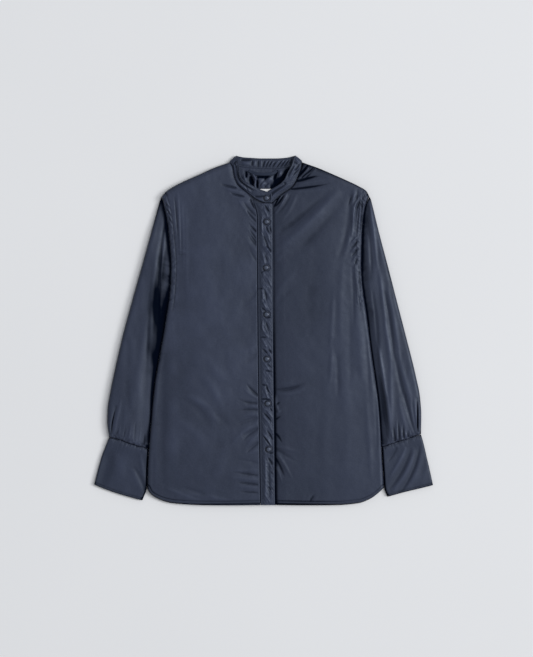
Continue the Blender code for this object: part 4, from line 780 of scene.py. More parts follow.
def graded_fractions(
    length: float, fine_start: tuple[float, float], coarse: float,
    fine_end: tuple[float, float],
) -> Array:
    """Fractions from 0 to 1 whose steps are finer along both ends.

    The wanted step is a smooth function of the place. The places are read off the
    running sum of its inverse.

    Args:
        length: The length that the fractions are of.
        fine_start: How far the fine steps reach from the start, and their size.
        coarse: Step in the middle.
        fine_end: The same as fine_start, from the end.

    Returns:
        The fractions.
    """
    place = np.linspace(0.0, length, 2000)
    near_start = 1.0 - eased(place - fine_start[0], GRADE_REACH)
    near_end = 1.0 - eased(length - place - fine_end[0], GRADE_REACH)
    step = coarse + (fine_start[1] - coarse) * near_start + (fine_end[1] - coarse) * near_end
    total = np.concatenate(([0.0], np.cumsum((place[1] - place[0]) / step[1:])))
    count = int(round(total[-1]))
    inner = np.interp(np.linspace(0.0, total[-1], count + 1)[2:-2], total, place)
    edge = np.array(ROLL_PLACES) * RIM_ROLL
    return np.concatenate([edge, inner, length - edge[::-1]]) / length


def with_height(plan: Array, height: Array) -> Array:
    """Join plan points and heights into points in space."""
    return np.concatenate([plan, height[..., None]], axis=-1)


# ---------------------------------------------------------------- forms of the cloth


def rounded(distance: Array, reach: float) -> Array:
    """Rise of a quarter round: 0 at an edge, 1 from one reach inwards."""
    part = np.clip(distance / reach, 0.0, 1.0)
    return np.sqrt(1.0 - (1.0 - part) ** 2)


def rolled(distance: Array) -> Array:
    """Share of its thickness that a wall has at a distance from its edge."""
    return RIM_SHARE + (1.0 - RIM_SHARE) * rounded(distance, RIM_ROLL)


def eased(distance: Array, reach: float) -> Array:
    """Rise of an S curve: 0 at an edge, 1 from one reach inwards."""
    part = np.clip(distance / reach, 0.0, 1.0)
    return part * part * (3.0 - 2.0 * part)


def window(values: Array, low: float, high: float, fade: float) -> Array:
    """Return 1 between two values and 0 outside, eased over one fade at both ends."""
    return eased(values - low, fade) * eased(high - values, fade)


def lattice_noise(u: Array, v: Array, seed: int) -> Array:
    """Smooth noise from -1 to 1: random values on a lattice, blended by quintic eases.

    Args:
        u: First coordinate, in lattice cells.
        v: Second coordinate, in lattice cells.
        seed: Which random lattice.

    Returns:
        The noise at each pair of coordinates.
    """
    table = np.random.default_rng(seed).uniform(-1.0, 1.0, (LATTICE, LATTICE))
    iu, iv = np.floor(u).astype(int), np.floor(v).astype(int)
    fu, fv = u - iu, v - iv
    su = fu ** 3 * (fu * (fu * 6 - 15) + 10)
    sv = fv ** 3 * (fv * (fv * 6 - 15) + 10)
    u0, u1, v0, v1 = iu % LATTICE, (iu + 1) % LATTICE, iv % LATTICE, (iv + 1) % LATTICE
    low = table[u0, v0] * (1 - su) + table[u1, v0] * su
    high = table[u0, v1] * (1 - su) + table[u1, v1] * su
    return low * (1 - sv) + high * sv


def unevenness(plan: Array, *rows: tuple[float, float, float, int]) -> Array:
    """Sum of noises over the plan: each row is a height, its sizes in X and Y, and a seed."""
    u, v = plan[..., 0], plan[..., 1]
    return sum(height * lattice_noise(u / wide, v / long, seed)
               for height, wide, long, seed in rows)


def billow(u: Array, v: Array, seed: int) -> Array:
    """Round hills with narrow creases between them, from -1 to 1: noise folded at 0."""
    first = np.abs(lattice_noise(u, v, seed))
    second = np.abs(lattice_noise(u * 2.1 + 7.3, v * 2.1 + 3.1, seed + 1))
    return 2.0 * np.sqrt(np.clip(first * 0.72 + second * 0.28, 0.0, 1.0)) - 1.0


def fold_height(plan: Array, folds: tuple[Fold, ...]) -> Array:
    """Sum of the folds: each a bell across its bowed line.

    Along the fold its height is t to the power a times (1 - t) to the power b, scaled
    to 1 where it peaks, and its width shrinks towards both ends.

    Args:
        plan: Plan points.
        folds: The folds.

    Returns:
        Their height over each plan point.
    """
    total = np.zeros(plan.shape[:-1])
    for fold in folds:
        start = np.array([fold.x0, fold.y0], dtype=float)
        along = np.array([fold.x1, fold.y1]) - start
        length = np.linalg.norm(along)
        along = along / length
        side = np.array([-along[1], along[0]])
        offset = plan - start
        travel = (offset @ along) / length
        inside = np.clip(travel, 0.0, 1.0)
        near = (travel > 0.0) & (travel < 1.0)
        aside = offset @ side - fold.bow * 4.0 * inside * (1.0 - inside)
        power = 1.5 * fold.lead
        rise = (inside / fold.lead) ** power
        fall = ((1.0 - inside) / (1.0 - fold.lead)) ** (1.5 - power)
        shape = np.where(near, rise * fall, 0.0)
        width = fold.width * (0.6 + 0.4 * np.clip(shape, 0.0, 1.0))
        gain = NARROW_GAIN if fold.width < NARROW_FOLD else 1.0
        total += gain * fold.height * np.exp(-(aside / width) ** 2) * shape
    return total


def puckers(
    edge: Edge, pitch: float, reach: float, height: float, seed: int, slant: float = 0.0
) -> Array:
    """Small gathers that run away from a seam.

    Round hills along the seam, times an exponential fall away from it, and a quick rise
    over the first sixth of the reach.

    Args:
        edge: The seam.
        pitch: Usual distance between two gathers, along the seam.
        reach: Distance from the seam over which they fade.
        height: Height of a gather.
        seed: Which random row of gathers.
        slant: How far a gather drifts along the seam for each step away from it.

    Returns:
        Their height over each plan point.
    """
    along = (edge.at + slant * edge.gap) / pitch
    streaks = billow(along, edge.gap / (5.0 * reach) + 0.5, seed)
    patchy = 0.65 + 0.45 * lattice_noise(edge.at / (6.0 * pitch), edge.at * 0.0, seed + 9)
    start = 1.0 - np.exp(-6.0 * edge.gap / reach)
    return height * patchy * streaks * start * np.exp(-edge.gap / reach)


def beads(edge: Edge, size: tuple[float, float], seed: int, reach: float, height: float) -> Array:
    """Fine crumples beside a seam: noise of a size along it and away from it, faded off."""
    noise = lattice_noise(edge.at / size[0], edge.gap / size[1], seed)
    return noise * shade(edge.gap, reach, height)


def groove(distance: Array, inset: float, depth: float) -> Array:
    """The press of a row of stitches: a narrow trough at one distance from an edge."""
    return -depth * np.exp(-((distance - inset) / GROOVE_WIDTH) ** 2)


def snap_seat(relief: Array, away: Array, level: float) -> Array:
    """Press a snap's seat into some relief: level beneath the cap, a trench round it."""
    seat = relief + (level - relief) * np.exp(-(away / SEAT_RADIUS) ** 6)
    return seat - TRENCH_DEPTH * np.exp(-((away - TRENCH_RADIUS) / TRENCH_WIDTH) ** 2)


def shade(distance: Array, reach: float, depth: object) -> Array:
    """Painted shade beside an edge or a seam: how much darker the colour is made there."""
    return depth * np.exp(-(distance / reach) ** 2)


def shades(*rows: tuple[Array, float, object]) -> Array:
    """Sum of painted shades: each row is a distance, a reach and a depth."""
    return sum(shade(*row) for row in rows)


def fold_painted_light(relief: Array, plan: Array, folds: tuple[Fold, ...]) -> Array:
    """Painted light and shade from relief: no deeper than a limit, but narrow creases get extra
    painted shade.
    """
    creases = tuple(fold for fold in folds if fold.width < CREASE_WIDTH and fold.height < 0)
    pressed = np.maximum(CREASE_SHADE_SHARE * fold_height(plan, creases), -MOST_CREASE_SHADE)
    return np.maximum(relief, -LEAST_PAINTED_TROUGH) + pressed


# ---------------------------------------------------------------- meshes


def add_object(name: str, data: bpy.types.ID) -> bpy.types.Object:
    """Make an object of its data, at the origin, and put it into the scene."""
    made = bpy.data.objects.new(name, data)
    bpy.context.scene.collection.objects.link(made)
    return made


def mesh_object(
    name: str, points: Array, faces: list[Array], material: bpy.types.Material,
    pattern: Optional[Array] = None, relief: Optional[Array] = None,
) -> bpy.types.Object:
    """Make a smooth mesh object whose faces point outwards.

    Args:
        name: The object's name.
        points: Vertex coordinates in millimetres, some of which may be unused.
        faces: Arrays of vertex indices, a row for each face.
        material: The finish.
        pattern: Pattern coordinates of the corners of the first array's faces, in
            millimetres, kept in metres as the UV map.
        relief: Painted light and shade of each vertex, mostly how far it stands out, from -1 to 1,
            kept as an attribute.

    Returns:
        The object, at the origin.
    """
    used = np.unique(np.concatenate([group.ravel() for group in faces]))
    renumber = np.zeros(len(points), int)
    renumber[used] = np.arange(len(used))
    faces = [renumber[group] for group in faces]
    placed = points[used] * MM
    volume = 0.0
    for group in faces:
        for k in range(1, group.shape[1] - 1):
            a, b, c = placed[group[:, 0]], placed[group[:, k]], placed[group[:, k + 1]]
            volume += float((np.cross(a, b) * c).sum())
    if volume < 0.0:
        faces = [group[:, ::-1] for group in faces]
        pattern = None if pattern is None else pattern[:, ::-1]
    mesh = bpy.data.meshes.new(name)
    mesh.from_pydata(placed.tolist(), [], [row for group in faces for row in group.tolist()])
    if pattern is not None:
        layer = mesh.uv_layers.new(name=PATTERN_MAP)
        layer.uv.foreach_set("vector", (pattern * MM).astype(np.float32).ravel())
    if relief is not None:
        stored = mesh.attributes.new(PAINTED_LIGHT_ATTRIBUTE, "FLOAT", "POINT")
        stored.data.foreach_set("value", relief[used].astype(np.float32))
    mesh.shade_smooth()
    mesh.materials.append(material)
    return add_object(name, mesh)


def ring_faces(index: Array) -> Array:
    """Corners of the faces between closed rings, given as rows of vertex numbers."""
    after = np.roll(index, -1, axis=-1)
    low, high = index[..., :-1, :], index[..., 1:, :]
    return np.stack([low, after[..., :-1, :], after[..., 1:, :], high], axis=-1).reshape(-1, 4)


@dataclass
class Wall:
    """A closed wall between an outer and an inner grid of points.

    Attributes:
        outer: Rows by columns of points in millimetres.
        inner: The same for the other face.
        across: Length across of each grid point, for the cloth's own pattern.
        down: Length down of each grid point.
        relief: How far each outer point stands out of the plain form, with painted shade added, as
            the colour reads it.
        closed: For each row, whether its last point is its first one again.
        inside: The same for each inner point, where the inside shows; otherwise inner points get
            painted shade.
    """

    outer: Array
    inner: Array
    across: Array
    down: Array
    relief: Array
    closed: Optional[Flags] = None
    inside: Optional[Array] = None

    @staticmethod
    def over(
        plan: Array, upper: Array, lower: object, relief: Array,
        inside: Optional[Array] = None,
    ) -> "Wall":
        """Lay a wall over a grid of plan points, between an upper and a lower height."""
        floor = np.broadcast_to(lower, upper.shape)
        return Wall(
            with_height(plan, upper), with_height(plan, floor),
            plan[..., 0], plan[..., 1], relief, inside=inside,
        )

    def faces(self) -> tuple[Array, Array]:
        """List the corners of every face, and where each corner lies on the pattern.

        A grid cell gives one face outside and one inside. Rims close the first and the
        last row, and the two sides wherever a row isn't closed.

        Returns:
            Corner indices, four for each face, and the pattern's coordinates there.
        """
        rows, columns = self.outer.shape[:2]
        shut = np.zeros(rows, bool) if self.closed is None else self.closed
        grid = np.arange(rows * columns).reshape(rows, columns)
        joined = grid.copy()
        joined[shut, -1] = joined[shut, 0]
        here = np.flatnonzero(~(shut[:-1] & shut[1:]))
        after = here + 1

        def corners(a: Array, b: Array) -> Array:
            """Corners of every face, where a numbers the outer grid and b the inner."""
            groups = (
                (a[:-1, :-1], a[:-1, 1:], a[1:, 1:], a[1:, :-1]),
                (b[1:, :-1], b[1:, 1:], b[:-1, 1:], b[:-1, :-1]),
                (a[0, 1:], a[0, :-1], b[0, :-1], b[0, 1:]),
                (a[-1, :-1], a[-1, 1:], b[-1, 1:], b[-1, :-1]),
                (a[here, 0], a[after, 0], b[after, 0], b[here, 0]),
                (b[here, -1], b[after, -1], a[after, -1], a[here, -1]),
            )
            return np.concatenate([np.stack(four, axis=-1).reshape(-1, 4) for four in groups])

        pattern = np.stack([self.across, self.down], axis=-1).reshape(-1, 2)
        return corners(joined, joined + grid.size), pattern[corners(grid, grid)]

    def make(self, name: str, material: bpy.types.Material) -> bpy.types.Object:
        """Put the wall into a mesh object, with how far it stands out and its painted light and
        shade as an attribute.
        """
        corners, pattern = self.faces()
        points = np.concatenate([self.outer.reshape(-1, 3), self.inner.reshape(-1, 3)])
        # Inner points get painted shade, unless the wall gives their own values
        relief = np.full(len(points), INSIDE_PAINTED_SHADE)
        relief[:self.relief.size] = np.clip(self.relief.ravel() / FULL_RELIEF, -1.0, 1.0)
        if self.inside is not None:
            relief[-self.inside.size:] = np.clip(self.inside.ravel() / FULL_RELIEF, -1.0, 1.0)
        return mesh_object(name, points, [corners], material, pattern, relief)


class StitchRow(NamedTuple):
    """One row of stitches: its line in space, and the way up from the cloth."""

    line: Array
    up: Array


def rows_on_cloth(
    upper: Callable[[Array], Array], *rows: tuple[Array, float, float, float],
    samples: int = 120,
) -> list[StitchRow]:
    """Lay rows of stitches on a piece's upper face, at one height above it.

    Args:
        upper: The piece's upper face.
        rows: For each row, an edge, how far it is moved to the left of the edge's own
            way, and the fractions of its length between which it runs.
        samples: How many points each row has.

    Returns:
        The rows.
    """
    laid = []
    for edge, inset, start, end in rows:
        curve = read_curve(shift_sideways(edge, inset), np.linspace(start, end, samples))
        line = with_height(curve, upper(curve[:, None, :])[:, 0] + THREAD_LIFT)
        laid.append(StitchRow(line, np.tile([0.0, 0.0, 1.0], (samples, 1))))
    return laid


# ---------------------------------------------------------------- pieces


class Cut(NamedTuple):
    """What a piece stands for, its finish, and the sheet that it is cut from.

    The flat size is width and length in metres, and the area is in square metres where
    the cut isn't a rectangle. The kind ends the name of the piece. The finish, the flat
    size and the area are not used here.
    """

    node: str
    slot: Slot
    flat: Optional[tuple[float, float]] = None
    area: Optional[float] = None
    rests_on: tuple[str, ...] = ()
    kind: str = "cloth"


@dataclass(kw_only=True)
class Piece:
    """A sub-assembly that stands for one CAD node.

    Attributes:
        cut: What it stands for and what it is cut from.
    """

    cut: Cut

    def wall(self) -> Wall:
        """Work out the piece's wall; each kind of piece gives its own."""
        raise NotImplementedError

    def dress(self, made: bpy.types.Object) -> None:
        """Attach the piece to the body, and hide the CAD part that it stands for."""
        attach(made, BODY)
        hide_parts(self.cut.node)

    def build(self, material: bpy.types.Material) -> None:
        """Build the piece, dress it and report it."""
        made = self.wall().make(f"{self.cut.node}_{self.cut.kind}", material)
        self.dress(made)
        LOG.info("%s: %d faces", made.name, len(made.data.polygons))


# ---------------------------------------------------------------- body


class Reach(NamedTuple):
    """Distances from plan points to the body's seams and to its hem."""

    seam: Array
    hem: Array


@dataclass(frozen=True)
class BodyPlan:
    """Plan curves of the body, and the heights of its plain layers."""

    right_edge: Array = curve_field(RIGHT_BODY_EDGE)
    left_edge: Array = curve_field(LEFT_BODY_EDGE)
    right_shoulder: Array = curve_field(RIGHT_SHOULDER)
    left_shoulder: Array = curve_field(LEFT_SHOULDER)
    right_hem: Array = curve_field(RIGHT_HEM)
    left_hem: Array = curve_field(LEFT_HEM)
    back_neck: Array = curve_field(BACK_NECK, NECK_RAISE)

    def hem(self) -> Array:
        """Return the whole hem, from the right side to the left."""
        return join_curves(self.right_hem, self.left_hem[::-1])

    def wall(
        self, reach: Reach, neck: Optional[Array] = None, centre: Optional[Array] = None
    ) -> Array:
        """Thickness of a padded panel: pressed at its seams and turned at its hem.

        Args:
            reach: Distances to the seams and the hem.
            neck: Distance to the neck edge, for a front.
            centre: Distance to the centre edge, for a front that is pressed there.

        Returns:
            The padded thickness less the largest quarter-round loss at any edge.
        """
        loss = (PADDED_WALL - SEAM_WALL) * (1 - rounded(reach.seam, SIDE_REACH))
        edges = [reach.hem * WALL_REACH / HEM_REACH]
        edges += [] if neck is None else [neck]
        edges += [] if centre is None else [centre - PRESSED_STRIP]
        for away in edges:
            turned = (PADDED_WALL - HEM_WALL) * (1 - rounded(away, WALL_REACH))
            loss = np.maximum(loss, turned)
        return PADDED_WALL - loss

    def underside(self, reach: Reach) -> Array:
        """Height of the back's underside: flat, and lifted along its seams."""
        lift = EDGE_LIFT * (1 - rounded(reach.seam, LIFT_REACH))
        return lift * eased(reach.hem, HEM_LIFT_FADE)

    def back_top(self, reach: Reach) -> Array:
        """Height of the back's upper face."""
        return self.underside(reach) + self.wall(reach)


@dataclass(kw_only=True)
class BackPanel(Piece):
    """The back: the lowest layer, dense where the open neck shows it.

    Attributes:
        body: The body's plan.
        fine: Cell size in the neck.
        coarse: Cell size elsewhere.
        fine_depth: How far down from the shoulders the fine cells reach.
    """

    body: BodyPlan
    cut: Cut = Cut("back_panel", Slot.NYLON, (0.505, 0.725), 0.318)
    fine: float = 1.5
    coarse: float = 7.5
    fine_depth: float = 92.0

    def neck_relief(self, plan: Array) -> Array:
        """Crumples inside the neck, eased off where the fronts cover the back."""
        u, v = plan[..., 0], plan[..., 1]
        relief = fold_height(plan, BACK_NECK_FOLDS)
        relief += puckers(nearest(plan, self.body.back_neck), 9.0, 13.0, 1.0, 71)
        relief += 0.7 * billow(u / 15.0, v / 23.0, 72) + unevenness(plan, (0.25, 5, 8, 73))
        return relief * (window(u, -52.0, 62.0, 12.0) * window(v, 262.0, 341.0, 5.0))

    def plan(self) -> Array:
        """Lay out the grid: fine cells in the neck, coarse ones elsewhere."""
        body = self.body
        top = join_curves(body.right_shoulder[::-1], body.back_neck, body.left_shoulder)
        length = curve_length(top)
        first = curve_length(body.right_shoulder) / length
        last = 1.0 - curve_length(body.left_shoulder) / length
        outer_part = dense_fractions(first * length, self.coarse)
        inner_part = even(int((last - first) * length / self.fine))
        across = np.concatenate([
            outer_part * first,
            first + inner_part[1:-1] * (last - first),
            1.0 - outer_part[::-1] * (1.0 - last),
        ])
        side = curve_length(body.right_edge)
        head = np.linspace(0.0, self.fine_depth, int(self.fine_depth / self.fine)) / side
        rest = dense_fractions(side - self.fine_depth, self.coarse)
        share = self.fine_depth / side
        down = np.concatenate([head, share + rest[4:] * (1.0 - share)])
        return patch(body.right_edge, body.left_edge, top, body.hem(), across, down)

    def wall(self) -> Wall:
        """Work out the back between its side seams, its shoulders and its hem.

        Its upper face carries the neck's crumples, and its underside soft dents that
        rise from the floor.
        """
        body = self.body
        plan = self.plan()
        seams = (body.right_edge, body.left_edge, body.right_shoulder, body.left_shoulder)
        seam = np.min([nearest(plan, curve).gap for curve in seams], axis=0)
        reach = Reach(seam, nearest(plan, body.hem()).gap)
        relief = self.neck_relief(plan)
        dents = np.clip(fold_height(plan, BACK_FOLDS), 0.0, BACK_DENT)
        dents += 0.25 + unevenness(plan, (0.25, 38, 52, 75))
        edge = np.minimum(reach.seam, reach.hem)
        underside = body.underside(reach) + dents * eased(edge, 25.0)
        upper = body.back_top(reach) + relief - 0.7 * (1.0 - rounded(edge, RIM_ROLL))
        upper = np.maximum(upper, underside + LEAST_WALL)
        # Painted shadow inside the neck, over the crumples' painted light and shade
        tone = relief - fold_height(plan, NECK_PAINTED_SHADOWS)
        return Wall.over(plan, upper, underside, tone, -dents)


class FrontEdges(NamedTuple):
    """A front's five edges, seen from plan points."""

    side: Edge
    shoulder: Edge
    neck: Edge
    centre: Edge
    hem: Edge

    def rim(self) -> Array:
        """Distance to the nearest edge."""
        return np.min([edge.gap for edge in self], axis=0)

    def reach(self) -> Reach:
        """Distances to the seams and to the hem."""
        return Reach(np.minimum(self.side.gap, self.shoulder.gap), self.hem.gap)

    def armhole(self) -> Array:
        """Return 1 along the armhole, eased to 0 along the side seam below it."""
        return eased(ARMHOLE_LENGTH - self.side.at, 25.0)


@dataclass(kw_only=True)
class FrontPanel(Piece):
    """One front: a padded panel that lies on the back.

    Attributes:
        body: The body's plan.
        neck: Its neck edge, from the shoulder to the centre.
        centre: Its centre edge, downwards.
        side: Its armhole and side seam, downwards.
        shoulder: Its shoulder seam, from the neck outwards.
        hem: Its hem, from the side to the centre.
        centre_air: Air beneath it along its centre edge.
        folds: Its own folds.
        seed: First number of its random puckers.
        gathers: Height of the fine gathers along its armhole.
        crevice: Depth of the trough beside the placket's free edge.
        laps_under: Whether it is pressed where it reaches in under the placket.
        fullness: Height of the broad dome between its side and its centre.
        lean: Below 1 the dome's crown is nearer to the side, above 1 to the centre.
        cell: Cell size along the front.
        fine: Cell size across it, beside the placket.
        coarse: Cell size across its middle.
    """

    body: BodyPlan
    neck: Array
    centre: Array
    side: Array
    shoulder: Array
    hem: Array
    centre_air: float
    folds: tuple[Fold, ...]
    seed: int
    gathers: float
    crevice: float = 0.0
    laps_under: bool = False
    fullness: float = 2.6
    lean: float = 0.8
    cell: float = 1.95
    fine: float = 1.15
    coarse: float = 3.6

    def relief(self, plan: Array, edges: FrontEdges) -> Array:
        """Puckers and stitch grooves along the edges, and a broad soft unevenness.

        Args:
            plan: Plan points.
            edges: The front's edges, seen from them.

        Returns:
            How far the outside stands out of the plain form, folds apart.
        """
        side, shoulder, neck, centre, hem = edges
        armhole = edges.armhole()
        seed = self.seed
        relief = armhole * (
            puckers(side, 10.0, 11.0, 0.9, seed, 0.25)
            + puckers(side, 5.2, 9.0, self.gathers, seed + 10, 0.7)
            + groove(side.gap, ARMHOLE_STITCH, 0.55)
            + beads(side, (4.2, 3.6), seed + 12, 12.0, 0.75)
        )
        relief += puckers(side, 17.0, 10.0, 0.7, seed + 1) * (1 - armhole)
        for edge, pitch, reach, height, step, slant in (
            (shoulder, 9.0, 10.0, 0.6, 2, -0.3),
            (neck, 8.5, 9.0, 0.7, 3, 0.2),
            (centre, 9.5, 10.0, 0.55, 4, -0.25),
            (hem, 8.0, 10.0, 0.6, 5, 0.3),
        ):
            relief += puckers(edge, pitch, reach, height, seed + step, slant)
        relief += groove(shoulder.gap, SHOULDER_STITCH, 0.45) + groove(hem.gap, HEM_STITCH, 1.1)
        soft = unevenness(
            plan, (0.55, 46, 61, seed + 6), (0.3, 19, 27, seed + 7), (0.12, 8, 11, seed + 8))
        return relief + soft * eased(edges.rim(), 14.0)

    def tone(self, plan: Array, edges: FrontEdges, raised: Array) -> Array:
        """Painted light and shade in the colour: the relief paints ridges paler and troughs darker,
        with painted shade beside edges, seams and stitches.

        Args:
            plan: Plan points.
            edges: The front's edges, seen from them.
            raised: Height of the folds and the relief.

        Returns:
            The relief with its painted light and shade, as the colour reads it.
        """
        lap = float(self.laps_under)
        side, shoulder, neck, centre, hem = (edge.gap for edge in edges)
        armhole = edges.armhole()
        tone = fold_painted_light(raised * (1.0 - 0.6 * lap), plan, self.folds)
        # Painted light: both fronts a little paler, and broad painted shade over the left front
        # near the placket
        tone += 0.2 - lap * 0.5 * (1.0 - eased(plan[..., 0] - 95.0, 110.0))
        # Painted shade along the seams, hem, hem stitching, shoulders, armhole stitching, right
        # side, neck and beside the placket's free edge
        return tone - shades(
            (edges.reach().seam, 2.6, 1.0),
            (hem, 2.6, 1.4),
            (hem - HEM_STITCH, 1.2, 0.9),
            (shoulder, 7.0, 0.5),
            (shoulder, 34.0, 0.25 * lap),
            (side - ARMHOLE_STITCH, 1.1, 0.5 * armhole),
            (side, 34.0, 0.3 * (1.0 - lap) * (1.0 - armhole)),
            (neck, 2.4, 0.05 + 0.8 * lap),
            (centre, 6.5, lap * (0.2 + 1.9 * eased(150.0 - plan[..., 1], 300.0))),
        )

    def heights(self, plan: Array) -> tuple[Array, Array, Array]:
        """Work out the front's two faces over some plan points.

        The inside is the back's top plus air that narrows to every edge, a broad dome
        and part of the folds. The outside adds the padded wall, the rest of the folds
        and the relief.

        Args:
            plan: Plan points.

        Returns:
            Heights of the outside and the inside, and the outside's painted light and shade.
        """
        curves = (self.side, self.shoulder, self.neck, self.centre, self.body.hem())
        edges = FrontEdges(*(nearest(plan, curve) for curve in curves))
        side, neck, centre, hem = (edges[k].gap for k in (0, 2, 3, 4))
        reach, rim = edges.reach(), edges.rim()
        open_hem = rounded(hem, HEM_AIR_REACH)
        air = BODY_AIR * rounded(reach.seam, SIDE_AIR_REACH) * open_hem
        air = between(air, np.minimum(NECK_AIR, air), 1 - rounded(neck, AIR_REACH))
        near_centre = 1 - eased(centre - PRESSED_STRIP, CENTRE_REACH)
        air = between(air, self.centre_air, near_centre * open_hem)
        dome = np.sin(math.pi * np.clip(side / (side + centre), 0.0, 1.0) ** self.lean) ** 1.2
        dome *= self.fullness * eased(neck, DOME_REACH) * eased(hem, DOME_REACH)
        folding = fold_height(plan, self.folds) * eased(rim, FRONT_FOLD_FADE)
        relief = self.relief(plan, edges)
        inside = self.body.back_top(reach) + SEAM_GAP + air + FOLD_SHARE_INSIDE * folding + dome
        wall = self.body.wall(reach, neck, centre if self.laps_under else None)
        wall += (1 - FOLD_SHARE_INSIDE) * folding + relief
        wall -= self.crevice * np.exp(-((centre - CREVICE_INSET) / CREVICE_WIDTH) ** 2)
        outside = inside + np.maximum(wall, LEAST_WALL) * rolled(rim)
        return outside, inside, self.tone(plan, edges, folding + relief)

    def upper(self, plan: Array) -> Array:
        """Height of the outside over some plan points."""
        return self.heights(plan)[0]

    def wall(self) -> Wall:
        """Work out the front on a grid that fills its five edges."""
        inner_side = join_curves(self.neck, self.centre)
        across = graded_fractions(
            curve_length(self.hem), (46.0, self.fine), self.coarse, (34.0, 1.7))
        down = dense_fractions(curve_length(inner_side), self.cell)
        corner = curve_length(self.neck) / curve_length(inner_side)
        down = np.sort(np.append(down, corner))
        plan = patch(inner_side, self.side, self.shoulder, self.hem[::-1], across, down)
        return Wall.over(plan, *self.heights(plan))

    def stitch_rows(self) -> list[StitchRow]:
        """Lay rows of stitches along the armhole, the shoulder and the hem."""
        inwards = -1.0 if self.laps_under else 1.0
        return rows_on_cloth(
            self.upper,
            (split_at_y(self.side, UNDERARM_Y)[0], inwards * ARMHOLE_STITCH, 0.04, 0.98),
            (self.shoulder, inwards * SHOULDER_STITCH, 0.05, 0.93),
            (self.hem, inwards * HEM_STITCH, 0.02, 0.985),
        )


@dataclass(kw_only=True)
class PlacketStrip(Piece):
    """The strip down the right front's edge: padded, with a row of stitches each side.

    Attributes:
        left: Its sewn edge, downwards.
        right: Its free edge, downwards.
        width: Its usual width.
        rows: Grid rows.
        columns: Grid columns.
    """

    cut: Cut = Cut("front_placket", Slot.STRIP, (0.075, 0.640), 0.0225, ("under_placket_cloth",))
    left: Array = curve_field(PLACKET_LEFT)
    right: Array = curve_field(PLACKET_RIGHT)
    width: float = 30.5
    rows: int = 560
    columns: int = 36

    def relief(self, plan: Array) -> tuple[Array, Array]:
        """Unevenness of the placket's top, and the distance to its nearer edge.

        It rises over the sewn third, stays full in the middle and rounds off towards
        the free edge. Its folds run down towards the free edge, with fine ripples
        along both rows of stitches, and each snap presses a round dimple.

        Args:
            plan: Plan points.

        Returns:
            The unevenness and the distance.
        """
        seam, free = nearest(plan, self.left), nearest(plan, self.right)
        left, right = seam.gap, free.gap
        full = eased(left - 2.0, 12.0) * (0.35 + 0.65 * rounded(right, 5.5))
        relief = (PLACKET_PUFF + 0.9) * full - 1.1
        relief += groove(left, PLACKET_STITCH, 0.3) + groove(right, PLACKET_STITCH, 0.35)
        x, y = plan[..., 0], plan[..., 1]
        inside = eased(left - 4.0, 4.0) * eased(right - 1.0, 2.5)
        slanted = (y + 1.6 * x) / 13.0
        relief += 0.4 * billow(slanted, x / 24.0 + 3.0, 51) * inside
        relief += 0.6 * billow(slanted * 2.3, x / 13.0, 53) * inside
        relief += unevenness(plan, (0.35, 5, 4, 59)) * inside
        relief += fold_height(plan, PLACKET_FOLDS) * (0.25 + 0.75 * inside)
        relief += puckers(seam, 5.5, 4.0, 0.45, 55, -0.6) + puckers(free, 5.0, 3.5, 0.5, 57, 0.5)
        for snap_x, snap_y in SNAPS[1:]:
            relief = snap_seat(relief, np.hypot(x - snap_x, y - snap_y), 0.6)
        return relief, np.minimum(left, right)

    def upper(self, plan: Array) -> Array:
        """Height of the placket's top over some plan points."""
        relief, edge = self.relief(plan)
        return PLACKET_FLOOR + np.maximum(STRIP_WALL + relief, LEAST_WALL) * rolled(edge)

    def wall(self) -> Wall:
        """Work out the placket between its two edges, its ends square."""
        across = dense_fractions(self.width, self.width / self.columns)
        plan = strip_plan(self.left, self.right, across, self.rows)
        relief, edge = self.relief(plan)
        # Painted light and shade of the folds, and painted shade along both edges
        tone = fold_painted_light(relief, plan, PLACKET_FOLDS) - shade(edge, 1.5, 0.25)
        return Wall.over(plan, self.upper(plan), PLACKET_FLOOR, tone)

    def stitch_rows(self) -> list[StitchRow]:
        """Lay a row of stitches along both edges."""
        return rows_on_cloth(
            self.upper, (self.left, PLACKET_STITCH, 0.01, 0.99),
            (self.right, -PLACKET_STITCH, 0.01, 0.99), samples=400,
        )


@dataclass(kw_only=True)
class UnderPlacket(Piece):
    """The strip beneath the placket that the snaps close on.

    Attributes:
        placket: The placket above it.
        rows: Grid rows.
        columns: Grid columns.
    """

    placket: PlacketStrip
    cut: Cut = Cut("under_placket", Slot.STRIP, (0.060, 0.632), 0.0172, ON_BACK)
    rows: int = 160
    columns: int = 10

    def wall(self) -> Wall:
        """Work out a flat band, one overlap inside the placket's free edge."""
        right = self.placket.right - np.array([STRIP_OVERLAP + PLAN_GAP, 0.0])
        right = right[right[:, 1] < right[0, 1] - PLAN_GAP]
        right = right[right[:, 1] > RIGHT_HEM[-1][1]]
        left = right - np.array([UNDER_PLACKET_WIDTH, 0.0])
        across = dense_fractions(UNDER_PLACKET_WIDTH, UNDER_PLACKET_WIDTH / self.columns)
        plan = strip_plan(left, right, across, self.rows)
        relief = unevenness(plan, (0.15, 9, 12, 61)) - 0.2
        edge = np.minimum(nearest(plan, left).gap, nearest(plan, right).gap)
        upper = UNDER_PLACKET_FLOOR + (STRIP_WALL + relief) * rolled(edge)
        return Wall.over(plan, upper, UNDER_PLACKET_FLOOR, relief)


# ---------------------------------------------------------------- collar


